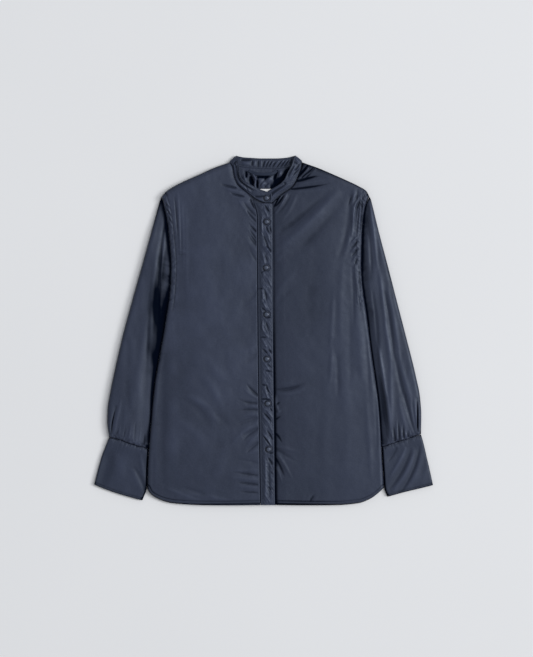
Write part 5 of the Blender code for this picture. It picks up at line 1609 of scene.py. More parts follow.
@dataclass(kw_only=True)
class CollarStand(Piece):
    """The stand collar: one band that goes round the neck and laps at the front.

    Attributes:
        sections: Where the band's seam end and free edge are, section by section.
        faces: Way, first random number and folds of its outer and its inner face.
        stations: Grid rows round the neck.
        columns: Grid columns from the seam to the free edge.
    """

    cut: Cut = Cut("collar_stand", Slot.STRIP, (0.052, 0.500), 0.0110, ON_BACK)
    sections: Rows = COLLAR_SECTIONS
    faces: tuple[tuple[float, int, tuple[Fold, ...]], ...] = (
        (1.0, 81, COLLAR_OUTER_FOLDS), (-1.0, 91, COLLAR_INNER_FOLDS),
    )
    stations: int = 420
    columns: int = 22

    def surface(self, stations: int, across: Array) -> tuple[Array, Array, Array]:
        """Read the middle surface: straight across from the seam to the free edge.

        Args:
            stations: How many places round the neck.
            across: Fractions from the seam to the free edge.

        Returns:
            Points, outward unit normals, and the length round the neck at each.
        """
        sections = smooth_curve(self.sections, stations)
        seam, edge = sections[:, None, :3], sections[:, None, 3:]
        s = across[None, :, None]
        middle = seam * (1 - s) + edge * s
        normal = unit(np.cross(edge - seam, np.gradient(middle, axis=0)))
        length = knot_places(middle.mean(axis=1))
        return middle, normal, np.tile(length[:, None], (1, len(across)))

    def relief(
        self, length: Array, across: Array, folds: tuple[Fold, ...], seed: int
    ) -> Array:
        """Unevenness of one face: its folds, fine puckers along both edges, and stitching.

        Args:
            length: Length round the neck.
            across: Fractions from the seam to the free edge.
            folds: The face's folds.
            seed: First number of its random puckers.

        Returns:
            How far the face stands out.
        """
        deep = across * COLLAR_HEIGHT
        above = COLLAR_HEIGHT - deep
        relief = fold_height(np.stack([length, deep], axis=-1), folds)
        relief += puckers(Edge(deep, length), 5.0, 7.0, 0.7, seed, -0.7)
        relief += puckers(Edge(above, length), 5.5, 6.0, 0.6, seed + 2, 0.7)
        soft = 0.3 * billow((length - 0.7 * deep) / 12.0, deep / 14.0, seed + 4)
        relief += soft * window(deep, 2.0, 20.0, 5.0)
        relief += groove(deep, NECK_STITCH, 0.4) + groove(above, COLLAR_STITCH, 0.4)
        return np.clip(relief, *COLLAR_RELIEF)

    def wall(self) -> Wall:
        """Work out the band as a wall about its middle surface, its edges rolled."""
        across = dense_fractions(COLLAR_HEIGHT, COLLAR_HEIGHT / self.columns, 1.2)
        middle, normal, length = self.surface(self.stations, across)
        s = np.tile(across, (self.stations, 1))
        deep, above = s * COLLAR_HEIGHT, (1.0 - s) * COLLAR_HEIGHT
        edge = np.minimum(s, 1.0 - s) * COLLAR_HEIGHT
        ends = np.minimum(length, length[-1, 0] - length)
        half = COLLAR_WALL / 2 * (0.45 + 0.55 * rounded(np.minimum(edge, ends), 1.2))
        away = np.hypot(middle[..., 0] - SNAPS[0][0], middle[..., 1] - SNAPS[0][1])
        # Painted shade along both edges of the band, darker along the free edge
        dark = shades((edge, 1.6, 0.15), (above, 1.6, 0.5))
        unrolled = np.stack([length, deep], axis=-1)
        grids, painted_lights = [], []
        for way, seed, folds in self.faces:
            relief = self.relief(length, s, folds, seed)
            if way > 0.0:
                relief = np.clip(snap_seat(relief, away, 0.0), *COLLAR_RELIEF)
            grid = middle + way * normal * (half + relief)[..., None]
            grid[..., 2] = np.maximum(grid[..., 2], LEAST_CLEARANCE)
            grids.append(grid)
            painted_lights.append(fold_painted_light(relief, unrolled, folds) - dark)
        return Wall(*grids, deep, length, painted_lights[0], inside=painted_lights[1])

    def stitch_rows(self) -> list[StitchRow]:
        """Lay a row of stitches along the free edge, on both faces."""
        place = 1.0 - COLLAR_STITCH / COLLAR_HEIGHT
        middle, normal, length = self.surface(400, np.array([place]))
        share = np.full(length.shape, place)
        rows = []
        for way, seed, folds in self.faces:
            lift = COLLAR_WALL / 2 + self.relief(length, share, folds, seed)
            line = (middle + way * normal * (lift + THREAD_LIFT)[..., None])[:, 0]
            line[:, 2] = np.maximum(line[:, 2], 0.4)
            rows.append(StitchRow(line[6:-6], way * normal[6:-6, 0]))
        return rows


# ---------------------------------------------------------------- sleeves and cuffs


@dataclass
class FlatTube:
    """A flattened tube of cloth between four plan curves.

    Attributes:
        outer_fold: Folded edge away from the body, downwards.
        inner_fold: Folded edge beside the body, downwards.
        start: Upper end, from the outer fold to the inner one.
        end: Lower end, from the outer fold to the inner one.
        outer_reach: Distance over which the outer fold rounds off.
        inner_reach: The same at the inner fold, on the upper layer.
    """

    outer_fold: Array
    inner_fold: Array
    start: Array
    end: Array
    outer_reach: float
    inner_reach: float

    def plan(self, across: Array, down: Array) -> Array:
        """Plan points for fractions across, a row for each fraction down."""
        return patch(self.outer_fold, self.inner_fold, self.start, self.end, across, down)

    def widths(self, down: Array) -> Array:
        """Width of the tube at each fraction down."""
        ends = self.plan(np.tile([0.0, 1.0], (len(down), 1)), down)
        return np.linalg.norm(ends[:, 0] - ends[:, 1], axis=1)

    def round_off(self, plan: Array, is_top: Flags) -> Array:
        """Rise from both folded edges: quarter rounds, but a soft valley on the inner top."""
        outer = rounded(nearest(plan, self.outer_fold).gap, self.outer_reach)
        gap = nearest(plan, self.inner_fold).gap
        valley = LIP_SHARE * rounded(gap, LIP_REACH)
        valley = valley + (1.0 - LIP_SHARE) * eased(gap, self.inner_reach)
        inner = np.where(is_top, valley, rounded(gap, self.outer_reach))
        return np.minimum(outer, inner)

    def fold_gap(self, plan: Array) -> Array:
        """Distance to the nearer folded edge."""
        return np.minimum(nearest(plan, self.outer_fold).gap, nearest(plan, self.inner_fold).gap)


class Layers(NamedTuple):
    """Heights of a tube's two layers over some plan points."""

    middle: Array
    top: Array
    under: Array
    relief: Array
    dents: Array
    wall: Array
    # painted light and shade of the upper layer
    tone: Array


@dataclass(kw_only=True)
class TubePiece(Piece):
    """A sleeve or a cuff: a flattened tube with folds on both of its layers.

    Attributes:
        tube: Its form on the plan.
        folds: Folds of the upper layer.
        under_folds: Folds of the lower layer.
        seed: First number of its random puckers.
    """

    tube: FlatTube
    folds: tuple[Fold, ...]
    under_folds: tuple[Fold, ...]
    seed: int

    def layers(self, plan: Array) -> Layers:
        """Heights of both layers; each kind of tube gives its own."""
        raise NotImplementedError

    def upper(self, plan: Array) -> Array:
        """Height of the upper layer's outside over some plan points."""
        layers = self.layers(plan)
        is_top = np.ones(plan.shape[:-1], bool)
        return layers.middle + (layers.top + layers.relief) * self.tube.round_off(plan, is_top)

    def rings(self, across: Array, is_top: Flags, down: Array, closed: Flags) -> Wall:
        """Work out the tube's outer and inner rings.

        A ring runs over the upper layer, round the inner fold, back under the lower
        layer and round the outer fold. The inner ring starts one wall inside each fold,
        and each of its layers is one wall thinner.

        Args:
            across: Fractions across, a row for each ring.
            is_top: For each column, whether it is on the upper layer.
            down: Fraction down of each ring.
            closed: Whether each ring closes.

        Returns:
            The wall between the rings.
        """
        tube = self.tube
        plan = tube.plan(across, down)
        layers = self.layers(plan)
        round_off = tube.round_off(plan, is_top)
        top = layers.middle + (layers.top + layers.relief) * round_off
        under = layers.middle - (layers.under - layers.dents) * round_off
        outer = with_height(plan, np.where(is_top, top, under))

        width = tube.widths(down)[:, None]
        inset = np.minimum(layers.wall.mean(axis=1)[:, None] / width, MOST_INSET)
        inner_plan = tube.plan(inset + across * (1 - 2 * inset), down)
        inner = self.layers(inner_plan)
        half = np.where(is_top, inner.top + inner.relief, inner.under)
        half = half * tube.round_off(inner_plan, is_top) - inner.wall
        half = np.maximum(half, LEAST_HALF)
        half = np.where((across < TINY) | (across > 1 - TINY), 0.0, half)
        height = np.where(is_top, inner.middle + half, inner.middle - half)

        turned = np.linalg.norm(np.diff(outer, axis=1), axis=2)
        round_ring = np.concatenate([np.zeros((len(down), 1)), np.cumsum(turned, axis=1)], axis=1)
        length = curve_length(tube.outer_fold)
        along = np.tile(down[:, None] * length, (1, across.shape[1]))
        # The upper layer keeps its painted light and shade, the lower one its dents
        relief = np.where(is_top, layers.tone, -layers.dents)
        return Wall(outer, with_height(inner_plan, height), round_ring, along, relief, closed)


@dataclass(kw_only=True)
class Sleeve(TubePiece):
    """A sleeve with a short slit above its cuff.

    Attributes:
        slit: The slit's middle line and half gaps.
        painted_shadows: Bands of painted shadow where the body's edge shades the cloth beside it.
        painted_shade_reach: How far from the body the painted shade is darkest.
        rows: Rings from the armhole to the slit.
        top_columns: Columns over the upper layer.
        under_columns: Columns over the lower layer.
    """

    slit: Array
    painted_shadows: tuple[Fold, ...]
    painted_shade_reach: float
    rows: int = 215
    top_columns: int = 70
    under_columns: int = 20

    @staticmethod
    def shape(
        side: Array, fold_points: Rows, seam_points: Rows, outwards: float, inner_reach: float
    ) -> FlatTube:
        """Lay out a sleeve's tube beside the body.

        Args:
            side: The body's armhole and side seam, downwards.
            fold_points: The sleeve's outer fold, downwards.
            seam_points: Its cuff seam, from the outer fold inwards.
            outwards: -1 for the right sleeve, 1 for the left.
            inner_reach: Distance over which it rises from its inner fold.

        Returns:
            The tube, one gap away from the body.
        """
        armhole, inner = (
            shift_sideways(part, outwards * SLEEVE_PLAN_GAP)
            for part in split_at_y(side, UNDERARM_Y)
        )
        outer = join_curves(armhole[:1], smooth_curve(fold_points))
        seam = smooth_curve(seam_points)
        inner = inner[inner[:, 1] > seam[-1, 1]]
        inner = np.vstack([armhole[-1:], inner[1:], seam[-1:]])
        return FlatTube(outer, inner, armhole, seam, OUTER_FOLD_REACH, inner_reach)

    def layers(self, plan: Array) -> Layers:
        """Heights of the sleeve: full in the middle, pressed at both seams."""
        tube, seed = self.tube, self.seed
        armhole, seam = nearest(plan, tube.start), nearest(plan, tube.end)
        near = np.minimum(
            eased(armhole.gap + 1.0, tube.inner_reach), rounded(seam.gap, LIFT_REACH))
        top = between(SLEEVE_HALF_SEAM, SLEEVE_HALF_TOP, near)
        under = between(SLEEVE_HALF_SEAM, EDGE_MIDDLE, near)
        fade = eased(np.minimum(armhole.gap, seam.gap), FOLD_FADE)
        fade = fade * eased(tube.fold_gap(plan), FOLD_FADE)
        relief = fold_height(plan, self.folds) * fade
        relief += puckers(armhole, 9.0, 12.0, 0.9, seed, 0.3)
        relief += puckers(seam, 8.0, 16.0, 1.1, seed + 1)
        relief += puckers(seam, 5.2, 7.0, 2.2, seed + 4)
        relief += beads(seam, (3.4, 3.0), seed + 5, 8.0, 1.0)
        relief += fade * unevenness(plan, (0.5, 24, 60, seed + 2), (0.3, 11, 30, seed + 3))
        lips = nearest(plan, self.slit[:, :2]).gap
        relief -= SLIT_PRESS * (1.0 - rounded(lips - 1.0, SLIT_REACH))
        dents = np.clip(fold_height(plan, self.under_folds) * fade, 0.0, SLEEVE_DENT)
        press = np.minimum(rounded(armhole.gap, WALL_REACH), rounded(seam.gap, WALL_REACH))
        beside = np.minimum(armhole.gap, nearest(plan, tube.inner_fold).gap)
        outer = nearest(plan, tube.outer_fold).gap
        # Painted light and shade: the folds' relief, painted shadow beside the body, and painted
        # shade at the cuff seam and along the outer fold
        tone = fold_painted_light(relief, plan, self.folds) - fold_height(plan, self.painted_shadows)
        tone -= shades((beside, self.painted_shade_reach, 1.4), (beside, 3.0 * self.painted_shade_reach, 0.4))
        tone -= shades((seam.gap, 2.0, 0.7), (outer, 3.2, 1.0))
        wall = between(SEAM_WALL, PADDED_WALL, press)
        return Layers(np.full(top.shape, EDGE_MIDDLE), top, under, relief, dents, wall, tone)

    def slit_places(self, down: Array) -> Array:
        """Fraction across at which each ring crosses the slit's middle line."""
        trial = np.tile(np.linspace(0.02, 0.4, 120), (len(down), 1))
        points = self.tube.plan(trial, down)
        wanted = np.interp(-points[..., 1], -self.slit[:, 1], self.slit[:, 0])
        best = np.abs(points[..., 0] - wanted).argmin(axis=1)
        place = np.pad(trial[0, best], 4, mode="edge")
        return np.convolve(place, np.ones(9) / 9.0, mode="valid")

    def wall(self) -> Wall:
        """Work out the sleeve from rings that open where they cross the slit."""
        slit = self.slit
        trial = even(400)
        fold_y = read_curve(self.tube.outer_fold, trial)[:, 1]
        first, last = np.interp([-slit[0, 1], -slit[-1, 1]], -fold_y, trial)
        down = np.concatenate([
            [0.0, 0.002, 0.005], np.linspace(0.009, first, self.rows)[:-1],
            np.linspace(first, last, 31), np.linspace(last, 0.998, 12)[1:], [1.0],
        ])
        y_at = np.interp(down, trial, fold_y)
        half_gap = np.interp(-y_at, -slit[:, 1], slit[:, 2], left=0.0, right=0.0)
        closed = (down <= first + TINY) | (down >= last - TINY)
        half_gap[closed] = 0.0
        place = self.slit_places(np.clip(down, first, last))[:, None]

        width = self.tube.widths(down)[:, None]
        gap = half_gap[:, None] / width
        far = OUTER_FOLD_REACH / width
        turn = far * np.array(TURN_PLACES)
        start = place + gap
        top = [
            start + (1.0 - far - start) * even(self.top_columns),
            1.0 - turn[:, ::-1], np.ones_like(width),
        ]
        flat = 1.0 - far - (1.0 - 2 * far) * even(self.under_columns)
        under = [1.0 - turn, flat, turn[:, ::-1]]
        rise = (place - gap) * even(9) ** 1.6
        across = np.concatenate([*top, *under, rise], axis=1)
        is_top = np.ones(across.shape[1], bool)
        turned = sum(part.shape[1] for part in top)
        is_top[turned:turned + sum(part.shape[1] for part in under)] = False
        return self.rings(across, is_top, down, closed)


@dataclass(kw_only=True)
class Cuff(TubePiece):
    """A deep flared cuff, from the sleeve's seam to its own hem.

    Attributes:
        top_columns: Columns over the upper layer.
        under_columns: Columns over the lower layer.
    """

    top_columns: int = 66
    under_columns: int = 26

    @staticmethod
    def shape(outer: Rows, inner: Rows, seam: Rows, hem: Rows) -> FlatTube:
        """Lay out a cuff's tube, one gap below the sleeve's seam."""
        outer_fold, inner_fold = smooth_curve(outer), smooth_curve(inner)
        top = smooth_curve(seam) + np.array([0.0, -PLAN_GAP])
        top[0], top[-1] = outer_fold[0], inner_fold[0]
        return FlatTube(
            outer_fold, inner_fold, top, smooth_curve(hem), CUFF_FOLD_REACH, CUFF_FOLD_REACH,
        )

    def layers(self, plan: Array) -> Layers:
        """Heights of the cuff: gathered at its seam, stitched at seam and hem."""
        tube, seed = self.tube, self.seed
        seam_edge, hem_edge = nearest(plan, tube.start), nearest(plan, tube.end)
        seam, hem = seam_edge.gap, hem_edge.gap
        folded = tube.fold_gap(plan)
        middle = between(CUFF_MIDDLE, EDGE_MIDDLE, 1 - eased(seam, CUFF_LEVEL_FADE))
        open_up = rounded(seam, WALL_REACH)
        top = between(SLEEVE_HALF_SEAM, CUFF_HALF_TOP, open_up)
        under = between(SLEEVE_HALF_SEAM, middle, open_up)
        fade = eased(np.minimum(seam, hem), FOLD_FADE) * eased(folded, FOLD_FADE)
        relief = fold_height(plan, self.folds) * fade
        relief += puckers(seam_edge, 8.0, 14.0, 0.8, seed)
        relief += puckers(seam_edge, 5.0, 6.0, 1.8, seed + 3)
        relief += beads(seam_edge, (3.4, 3.0), seed + 4, 5.0, 0.6)
        relief += puckers(hem_edge, 9.0, 9.0, 0.45, seed + 1, 0.3)
        relief += groove(seam, CUFF_SEAM_STITCH, 0.35) + groove(hem, CUFF_HEM_STITCH, 0.5)
        relief += fade * 0.3 * lattice_noise(plan[..., 0] / 17, plan[..., 1] / 26, seed + 2)
        relief -= 0.8 * (1.0 - rounded(hem, RIM_ROLL))
        dents = np.clip(fold_height(plan, self.under_folds) * fade, 0.0, CUFF_DENT)
        # Painted light and shade: the folds' relief, and painted shade along the folded edges, the
        # hem and its stitching, the inner fold and the seam
        tone = fold_painted_light(relief, plan, self.folds)
        tone -= shades((folded, 2.8, 0.9), (hem, 2.4, 1.2))
        tone -= shade(hem - CUFF_HEM_STITCH, 1.1, 0.5)
        tone -= shades((nearest(plan, tube.inner_fold).gap, 4.0, 1.4), (seam, 2.0, 0.8))
        wall = between(SEAM_WALL, STRIP_WALL, rounded(seam, WALL_REACH))
        return Layers(middle, top, under, relief, dents, wall, tone)

    def wall(self) -> Wall:
        """Work out the cuff from closed rings."""
        down = dense_fractions(curve_length(self.tube.outer_fold), 1.3)
        far = CUFF_FOLD_REACH / self.tube.widths(down)[:, None]
        turn = far * np.array((0.0, *TURN_PLACES))
        main = far + (1.0 - 2 * far) * even(self.top_columns)
        top = np.concatenate([turn, main, 1.0 - turn[:, ::-1]], axis=1)
        flat = 1.0 - far - (1.0 - 2 * far) * even(self.under_columns)
        across = np.concatenate([top, 1.0 - turn[:, 1:], flat, turn[:, ::-1]], axis=1)
        is_top = np.arange(across.shape[1]) < top.shape[1]
        return self.rings(across, is_top, down, np.ones(len(down), bool))

    def stitch_rows(self) -> list[StitchRow]:
        """Lay a row of stitches along the hem and another along the seam."""
        inwards = 1.0 if self.tube.end[0, 0] < 0.0 else -1.0
        return rows_on_cloth(
            self.upper, (self.tube.end, inwards * CUFF_HEM_STITCH, 0.03, 0.97),
            (self.tube.start, -inwards * CUFF_SEAM_STITCH, 0.04, 0.96),
        )


# ---------------------------------------------------------------- trim


@dataclass
class SnapCap(Piece):
    """A snap cap, on the collar band or down the placket.

    Attributes:
        number: Which cap, counted from the collar.
        place: Its middle on the plan.
        profile: Radius and height above the cloth, from the rim's foot to the crown.
        turns: Points round a cap.
    """

    number: int
    place: tuple[float, float]
    profile: Rows = (
        (5.4, 0.0), (5.85, 0.1), (6.0, 0.3), (5.9, 0.5), (5.6, 0.6), (5.2, 0.5),
        (4.9, 0.45), (4.7, 0.6), (4.55, 1.1), (4.2, 1.6), (3.7, 1.95), (2.9, 2.2),
        (1.9, 2.37), (0.9, 2.44), (0.25, 2.45),
    )
    turns: int = 52

    def build(self, material: bpy.types.Material) -> None:
        """Build the cap: its profile turned about an upright axis, closed by flat ends."""
        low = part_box(self.cut.node)[0][2] / MM
        rings = np.array(self.profile)
        angle = np.linspace(0.0, 2.0 * math.pi, self.turns, endpoint=False)
        x = self.place[0] + rings[:, :1] * np.cos(angle)
        y = self.place[1] + rings[:, :1] * np.sin(angle)
        z = np.tile(low - CAP_SINK + rings[:, 1:], (1, self.turns))
        points = np.stack([x, y, z], axis=-1).reshape(-1, 3)
        index = np.arange(x.size).reshape(x.shape)
        ends = np.stack([index[0, ::-1], index[-1]])
        # The crown within this radius is coloured paler, a painted highlight
        painted_crown_highlight = np.repeat(np.where(rings[:, 0] < HIGHLIGHT_CROWN_RADIUS, 1.0, 0.0), self.turns)
        faces = [ring_faces(index), ends]
        self.dress(mesh_object(f"snap_{self.number}", points, faces, material, relief=painted_crown_highlight))


@dataclass(kw_only=True)
class HangerLoop(Piece):
    """The hanger loop: a flat tape sewn to the back neck at both ends."""

    cut: Cut = Cut("hanger_loop", Slot.TAPE, kind="tape")
    stations: int = 120
    columns: int = 12

    def wall(self) -> Wall:
        """Work out the tape along its line, its edges rolled and its ribs raised, with painted
        shade along both edges.
        """
        middle = read_curve(smooth_curve(LOOP_MIDDLE), even(self.stations))
        along = unit(np.gradient(middle[:, :2], axis=0))
        side = np.stack([-along[:, 1], along[:, 0], np.zeros(len(along))], axis=-1)
        across = dense_fractions(LOOP_WIDTH, LOOP_WIDTH / self.columns, 0.6) - 0.5
        lower = middle[:, None, :] + across[None, :, None] * LOOP_WIDTH * side[:, None, :]
        length = np.tile(knot_places(middle)[:, None], (1, len(across)))
        width = np.tile(across * LOOP_WIDTH, (len(middle), 1))
        half = LOOP_WIDTH / 2
        thick = TAPE_WALL * (0.35 + 0.65 * rounded(half - np.abs(width), 0.7))
        thick += 0.12 * np.cos(2 * math.pi * width / RIB_PITCH) - 0.1
        upper = lower.copy()
        upper[..., 2] += thick
        # Painted shade along both edges of the tape, darker along its lower edge
        dark = shades((half + width, 1.6, 1.3), (half - width, 1.0, 0.8))
        return Wall(upper, lower, width, length, -dark)


@dataclass(kw_only=True)
class NeckLabel(Piece):
    """The blank neck label, flat on the inside of the back."""

    back: BackPanel
    cut: Cut = Cut("neck_label", Slot.LABEL, (0.0246, 0.012), rests_on=ON_BACK, kind="tape")
    cell: float = 0.6

    def wall(self) -> Wall:
        """Work out a thin sheet that follows the back's crumples a little."""
        width, height = LABEL_RIGHT - LABEL_LEFT, LABEL_HEIGHT
        across = dense_fractions(width, self.cell, 0.4)
        down = dense_fractions(height, self.cell, 0.4)
        x, y = np.meshgrid(LABEL_LEFT + across * width, LABEL_TOP - down * height)
        plan = np.stack([x, y], axis=-1)
        floor = PADDED_WALL + SEAM_GAP + np.clip(self.back.neck_relief(plan), 0.0, 2.0)
        above, below = LABEL_TOP - y, y - LABEL_TOP + height
        edge = np.min([x - LABEL_LEFT, LABEL_RIGHT - x, above, below], axis=0)
        upper = floor + LABEL_WALL * (0.5 + 0.5 * rounded(edge, 0.5))
        return Wall.over(plan, upper, floor, x * 0.0)


@dataclass
class Stitching:
    """Rows of separate stitches: short lozenges of thread that dip in at both ends.

    Attributes:
        pitch: Distance from one stitch to the next.
        length: Length of a stitch.
        thread: Thickness of the thread.
        rings: For each ring of a stitch, its place along it, its thickness and its dip.
    """

    pitch: float = 3.1
    length: float = 2.4
    thread: float = 0.5
    rings: Rows = ((-0.5, 0.3, -0.35), (-0.22, 1.0, 0.0), (0.22, 1.0, 0.0), (0.5, 0.3, -0.35))

    def build(self, name: str, rows: list[StitchRow], material: bpy.types.Material) -> None:
        """Build every stitch of some rows as one mesh, four rings of four corners each.

        Args:
            name: The object's name.
            rows: The rows.
            material: The finish.
        """
        table = np.array(self.rings)
        corner = np.linspace(0.0, 2.0 * math.pi, 4, endpoint=False) + math.pi / 4
        parts = []
        for row in rows:
            travelled = knot_places(row.line)
            at = np.arange(self.pitch / 2, travelled[-1], self.pitch)
            along = np.gradient(row.line, axis=0)
            parts.append([read_at(part, travelled, at) for part in (row.line, along, row.up)])
        middle, along, up = (np.concatenate(part) for part in zip(*parts))
        along = unit(along)
        side = unit(np.cross(up, along))
        rise = np.cross(along, side)
        place = table[:, 0] * self.length
        radius = (table[:, 1] * self.thread * 0.7)[:, None]
        points = (
            middle[:, None, None, :]
            + along[:, None, None, :] * place[None, :, None, None]
            + side[:, None, None, :] * (radius * np.cos(corner))[None, :, :, None]
            + rise[:, None, None, :] * (radius * np.sin(corner) + table[:, 2:])[None, :, :, None]
        )
        index = np.arange(points.size // 3).reshape(len(middle), 4, 4)
        ends = np.concatenate([index[:, 0, ::-1], index[:, -1]])
        made = mesh_object(name, points.reshape(-1, 3), [ring_faces(index), ends], material)
        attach(made, BODY)
        LOG.info("%s: %d faces", name, len(made.data.polygons))


# ---------------------------------------------------------------- finishes


@dataclass
class NodeTree:
    """A material under construction, with a short way to add and link its nodes."""

    name: str
    material: bpy.types.Material = field(init=False)

    def __post_init__(self) -> None:
        """Start from Blender's plain surface."""
        self.material = bpy.data.materials.new(self.name)
        self.material.use_nodes = True

    @property
    def shader(self) -> bpy.types.Node:
        """Return the surface's shader."""
        return self.material.node_tree.nodes["Principled BSDF"]

    @property
    def place(self) -> object:
        """Add the object's own coordinates and return them."""
        return self.add("TexCoord", {}).outputs["Object"]

    @property
    def relief(self) -> object:
        """Add the stored relief, with its painted light and shade, and return it."""
        return self.add("Attribute", {}, attribute_name=PAINTED_LIGHT_ATTRIBUTE).outputs["Fac"]

    def add(self, kind: str, values: dict, **settings: object) -> bpy.types.Node:
        """Add a node.

        Args:
            kind: Blender's name for the node, without its prefix.
            values: For each input, a socket to link from or a value.
            settings: Properties of the node.

        Returns:
            The node.
        """
        node = self.material.node_tree.nodes.new(f"ShaderNode{kind}")
        for key, value in settings.items():
            setattr(node, key, value)
        self.set(node, values)
        return node

    def set(self, node: bpy.types.Node, values: dict) -> None:
        """Link or set some inputs of a node."""
        for key, value in values.items():
            if isinstance(value, bpy.types.NodeSocket):
                self.material.node_tree.links.new(value, node.inputs[key])
            else:
                node.inputs[key].default_value = value

    def noise(self, place: object, scale: float, detail: float = 2.0) -> object:
        """Add a noise and return its value, from about 0.3 to 0.7."""
        node = self.add("TexNoise", {"Vector": place, "Scale": scale, "Detail": detail})
        return node.outputs["Fac"]

    def math(self, operation: str, *values: object) -> object:
        """Add a sum, product or the like and return its result."""
        node = self.add("Math", dict(enumerate(values)), operation=operation)
        return node.outputs[0]

    def span(self, value: object, low: float, high: float, to_low: float, to_high: float) -> object:
        """Carry a value from one range to another, held inside it."""
        node = self.add("MapRange", {
            "Value": value, "From Min": low, "From Max": high,
            "To Min": to_low, "To Max": to_high,
        })
        return node.outputs["Result"]

    def uneven(self, place: object, scale: float, detail: float, most: float) -> object:
        """Add a noise about 0, from minus to plus the most."""
        return self.span(self.noise(place, scale, detail), 0.3, 0.7, -most, most)

    def bump(self, height: object, distance: float, strength: float, below: object) -> object:
        """Add a bump over another one and return its normal."""
        values = {"Height": height, "Distance": distance, "Strength": strength}
        if below is not None:
            values["Normal"] = below
        return self.add("Bump", values).outputs["Normal"]

    def blend(self, share: object, first: Colour, second: object) -> object:
        """Mix two colours and return the result; the second may come from another node."""
        over = (*second, 1.0) if isinstance(second, tuple) else second
        node = self.add(
            "Mix", {"Factor": share, "A": (*first, 1.0), "B": over}, data_type="RGBA",
        )
        return node.outputs["Result"]


@dataclass(frozen=True)
class ClothFinish:
    """A woven finish with a soft sheen.

    Attributes:
        name: The material's name.
        trough: Colour of the painted shade in the troughs.
        ridge: Colour of the painted highlight on the ridges; the cloth's own colour lies between
            the two.
        deep: Near-black colour of the painted shadow in valleys and under other parts.
        roughness: Middle roughness.
        sheen: Share of the sheen.
        thread: Distance between two threads of the weave, in metres.
        crinkle: Height of the fine crinkles, in metres.
        specular: Strength of its reflections.
    """

    name: str
    trough: Colour
    ridge: Colour
    roughness: float
    sheen: float
    thread: float
    crinkle: float
    deep: Colour = (0.0004, 0.0020, 0.0078)
    specular: float = 0.36

    def make(self) -> bpy.types.Material:
        """Make the material.

        Its colour runs from the troughs' painted shade to the ridges' painted highlight with the
        stored relief and a broad noise, and turns to the painted shadow where the relief is
        deepest.
        Its bump is a plain weave, the product of two sines over the cloth's own
        pattern, on two sizes of crinkle.
        """
        tree = NodeTree(self.name)
        place = tree.place
        pattern = tree.add("UVMap", {}, uv_map=PATTERN_MAP).outputs["UV"]
        relief = tree.relief
        broad = tree.uneven(place, 9.0, 3.0, 0.06)
        speck = tree.uneven(place, 420.0, 2.0, 0.12)
        # Painted light and shade: the stored relief, mottled by random noise, picks the colour from
        # painted shade to painted highlight
        share = tree.math("ADD", tree.math("MULTIPLY_ADD", relief, 0.45, broad), speck)
        share = tree.span(share, -0.75, 0.75, 0.0, 1.0)
        shine = tree.uneven(place, 60.0, 3.0, 0.06)
        shine = tree.math("MULTIPLY_ADD", relief, -0.05, shine)
        split = tree.add("SeparateXYZ", {"Vector": pattern})
        turn = 2.0 * math.pi / self.thread
        waves = [
            tree.math("SINE", tree.math("MULTIPLY", split.outputs[axis], turn))
            for axis in ("X", "Y")
        ]
        weave = tree.math("MULTIPLY", *waves)
        normal = tree.bump(tree.noise(place, 95.0, 3.0), self.crinkle * 4.0, 0.55, None)
        normal = tree.bump(tree.noise(place, 480.0, 2.0), self.crinkle, 0.5, normal)
        normal = tree.bump(weave, self.thread * 0.12, 0.25, normal)
        # Painted shadow: where the stored value is deepest the colour turns near black and the
        # reflections weaken
        out_of_painted_shadow = tree.span(relief, -1.0, -0.35, 0.0, 1.0)
        colour = tree.blend(out_of_painted_shadow, self.deep, tree.blend(share, self.trough, self.ridge))
        tree.set(tree.shader, {
            "Base Color": colour,
            "Roughness": tree.math("ADD", shine, self.roughness),
            "Normal": normal,
            "Specular IOR Level": tree.span(out_of_painted_shadow, 0.0, 1.0, 0.05 * self.specular, self.specular),
            "Specular Tint": (0.76, 0.87, 1.0, 1.0),
            "Sheen Weight": self.sheen,
            "Sheen Roughness": 0.35,
            "Sheen Tint": (0.72, 0.78, 1.0, 1.0),
        })
        return tree.material


@dataclass(frozen=True)
class SnapFinish:
    """Metal with a coat of paint; its crown is coloured paler, a painted highlight."""

    name: str = "snap_paint"
    paint: Colour = (0.006, 0.008, 0.018)
    # Paler colour of the crown, a painted highlight
    painted_crown_highlight: Colour = (0.085, 0.108, 0.165)
    metallic: float = 0.25

    def make(self) -> bpy.types.Material:
        """Make the material: from paint to the crown's painted highlight by the stored mask and a
        fine noise.
        """
        tree = NodeTree(self.name)
        place = tree.place
        relief = tree.relief
        fine = tree.noise(place, 700.0, 3.0)
        share = tree.math("MULTIPLY", relief, tree.span(fine, 0.35, 0.65, 0.45, 1.0))
        normal = tree.bump(fine, 0.00005, 0.35, None)
        tree.set(tree.shader, {
            "Base Color": tree.blend(share, self.paint, self.painted_crown_highlight),
            "Roughness": tree.span(fine, 0.3, 0.7, 0.26, 0.42),
            "Metallic": self.metallic,
            "Normal": normal,
        })
        return tree.material


@dataclass(frozen=True)
class ThreadFinish:
    """Twisted sewing thread, a little paler than the cloth."""

    name: str = "sewing_thread"
    dark: Colour = (0.010, 0.014, 0.030)
    pale: Colour = (0.030, 0.038, 0.066)

    def make(self) -> bpy.types.Material:
        """Make the material: fine slanted bands for the twist, in colour and bump."""
        tree = NodeTree(self.name)
        place = tree.place
        twist = tree.add(
            "TexWave", {"Vector": place, "Scale": 620.0, "Distortion": 1.5},
            bands_direction="DIAGONAL",
        ).outputs["Fac"]
        tree.set(tree.shader, {
            "Base Color": tree.blend(twist, self.dark, self.pale),
            "Roughness": tree.span(twist, 0.0, 1.0, 0.62, 0.5),
            "Normal": tree.bump(twist, 0.00006, 0.5, None),
            "Sheen Weight": 0.2,
        })
        return tree.material


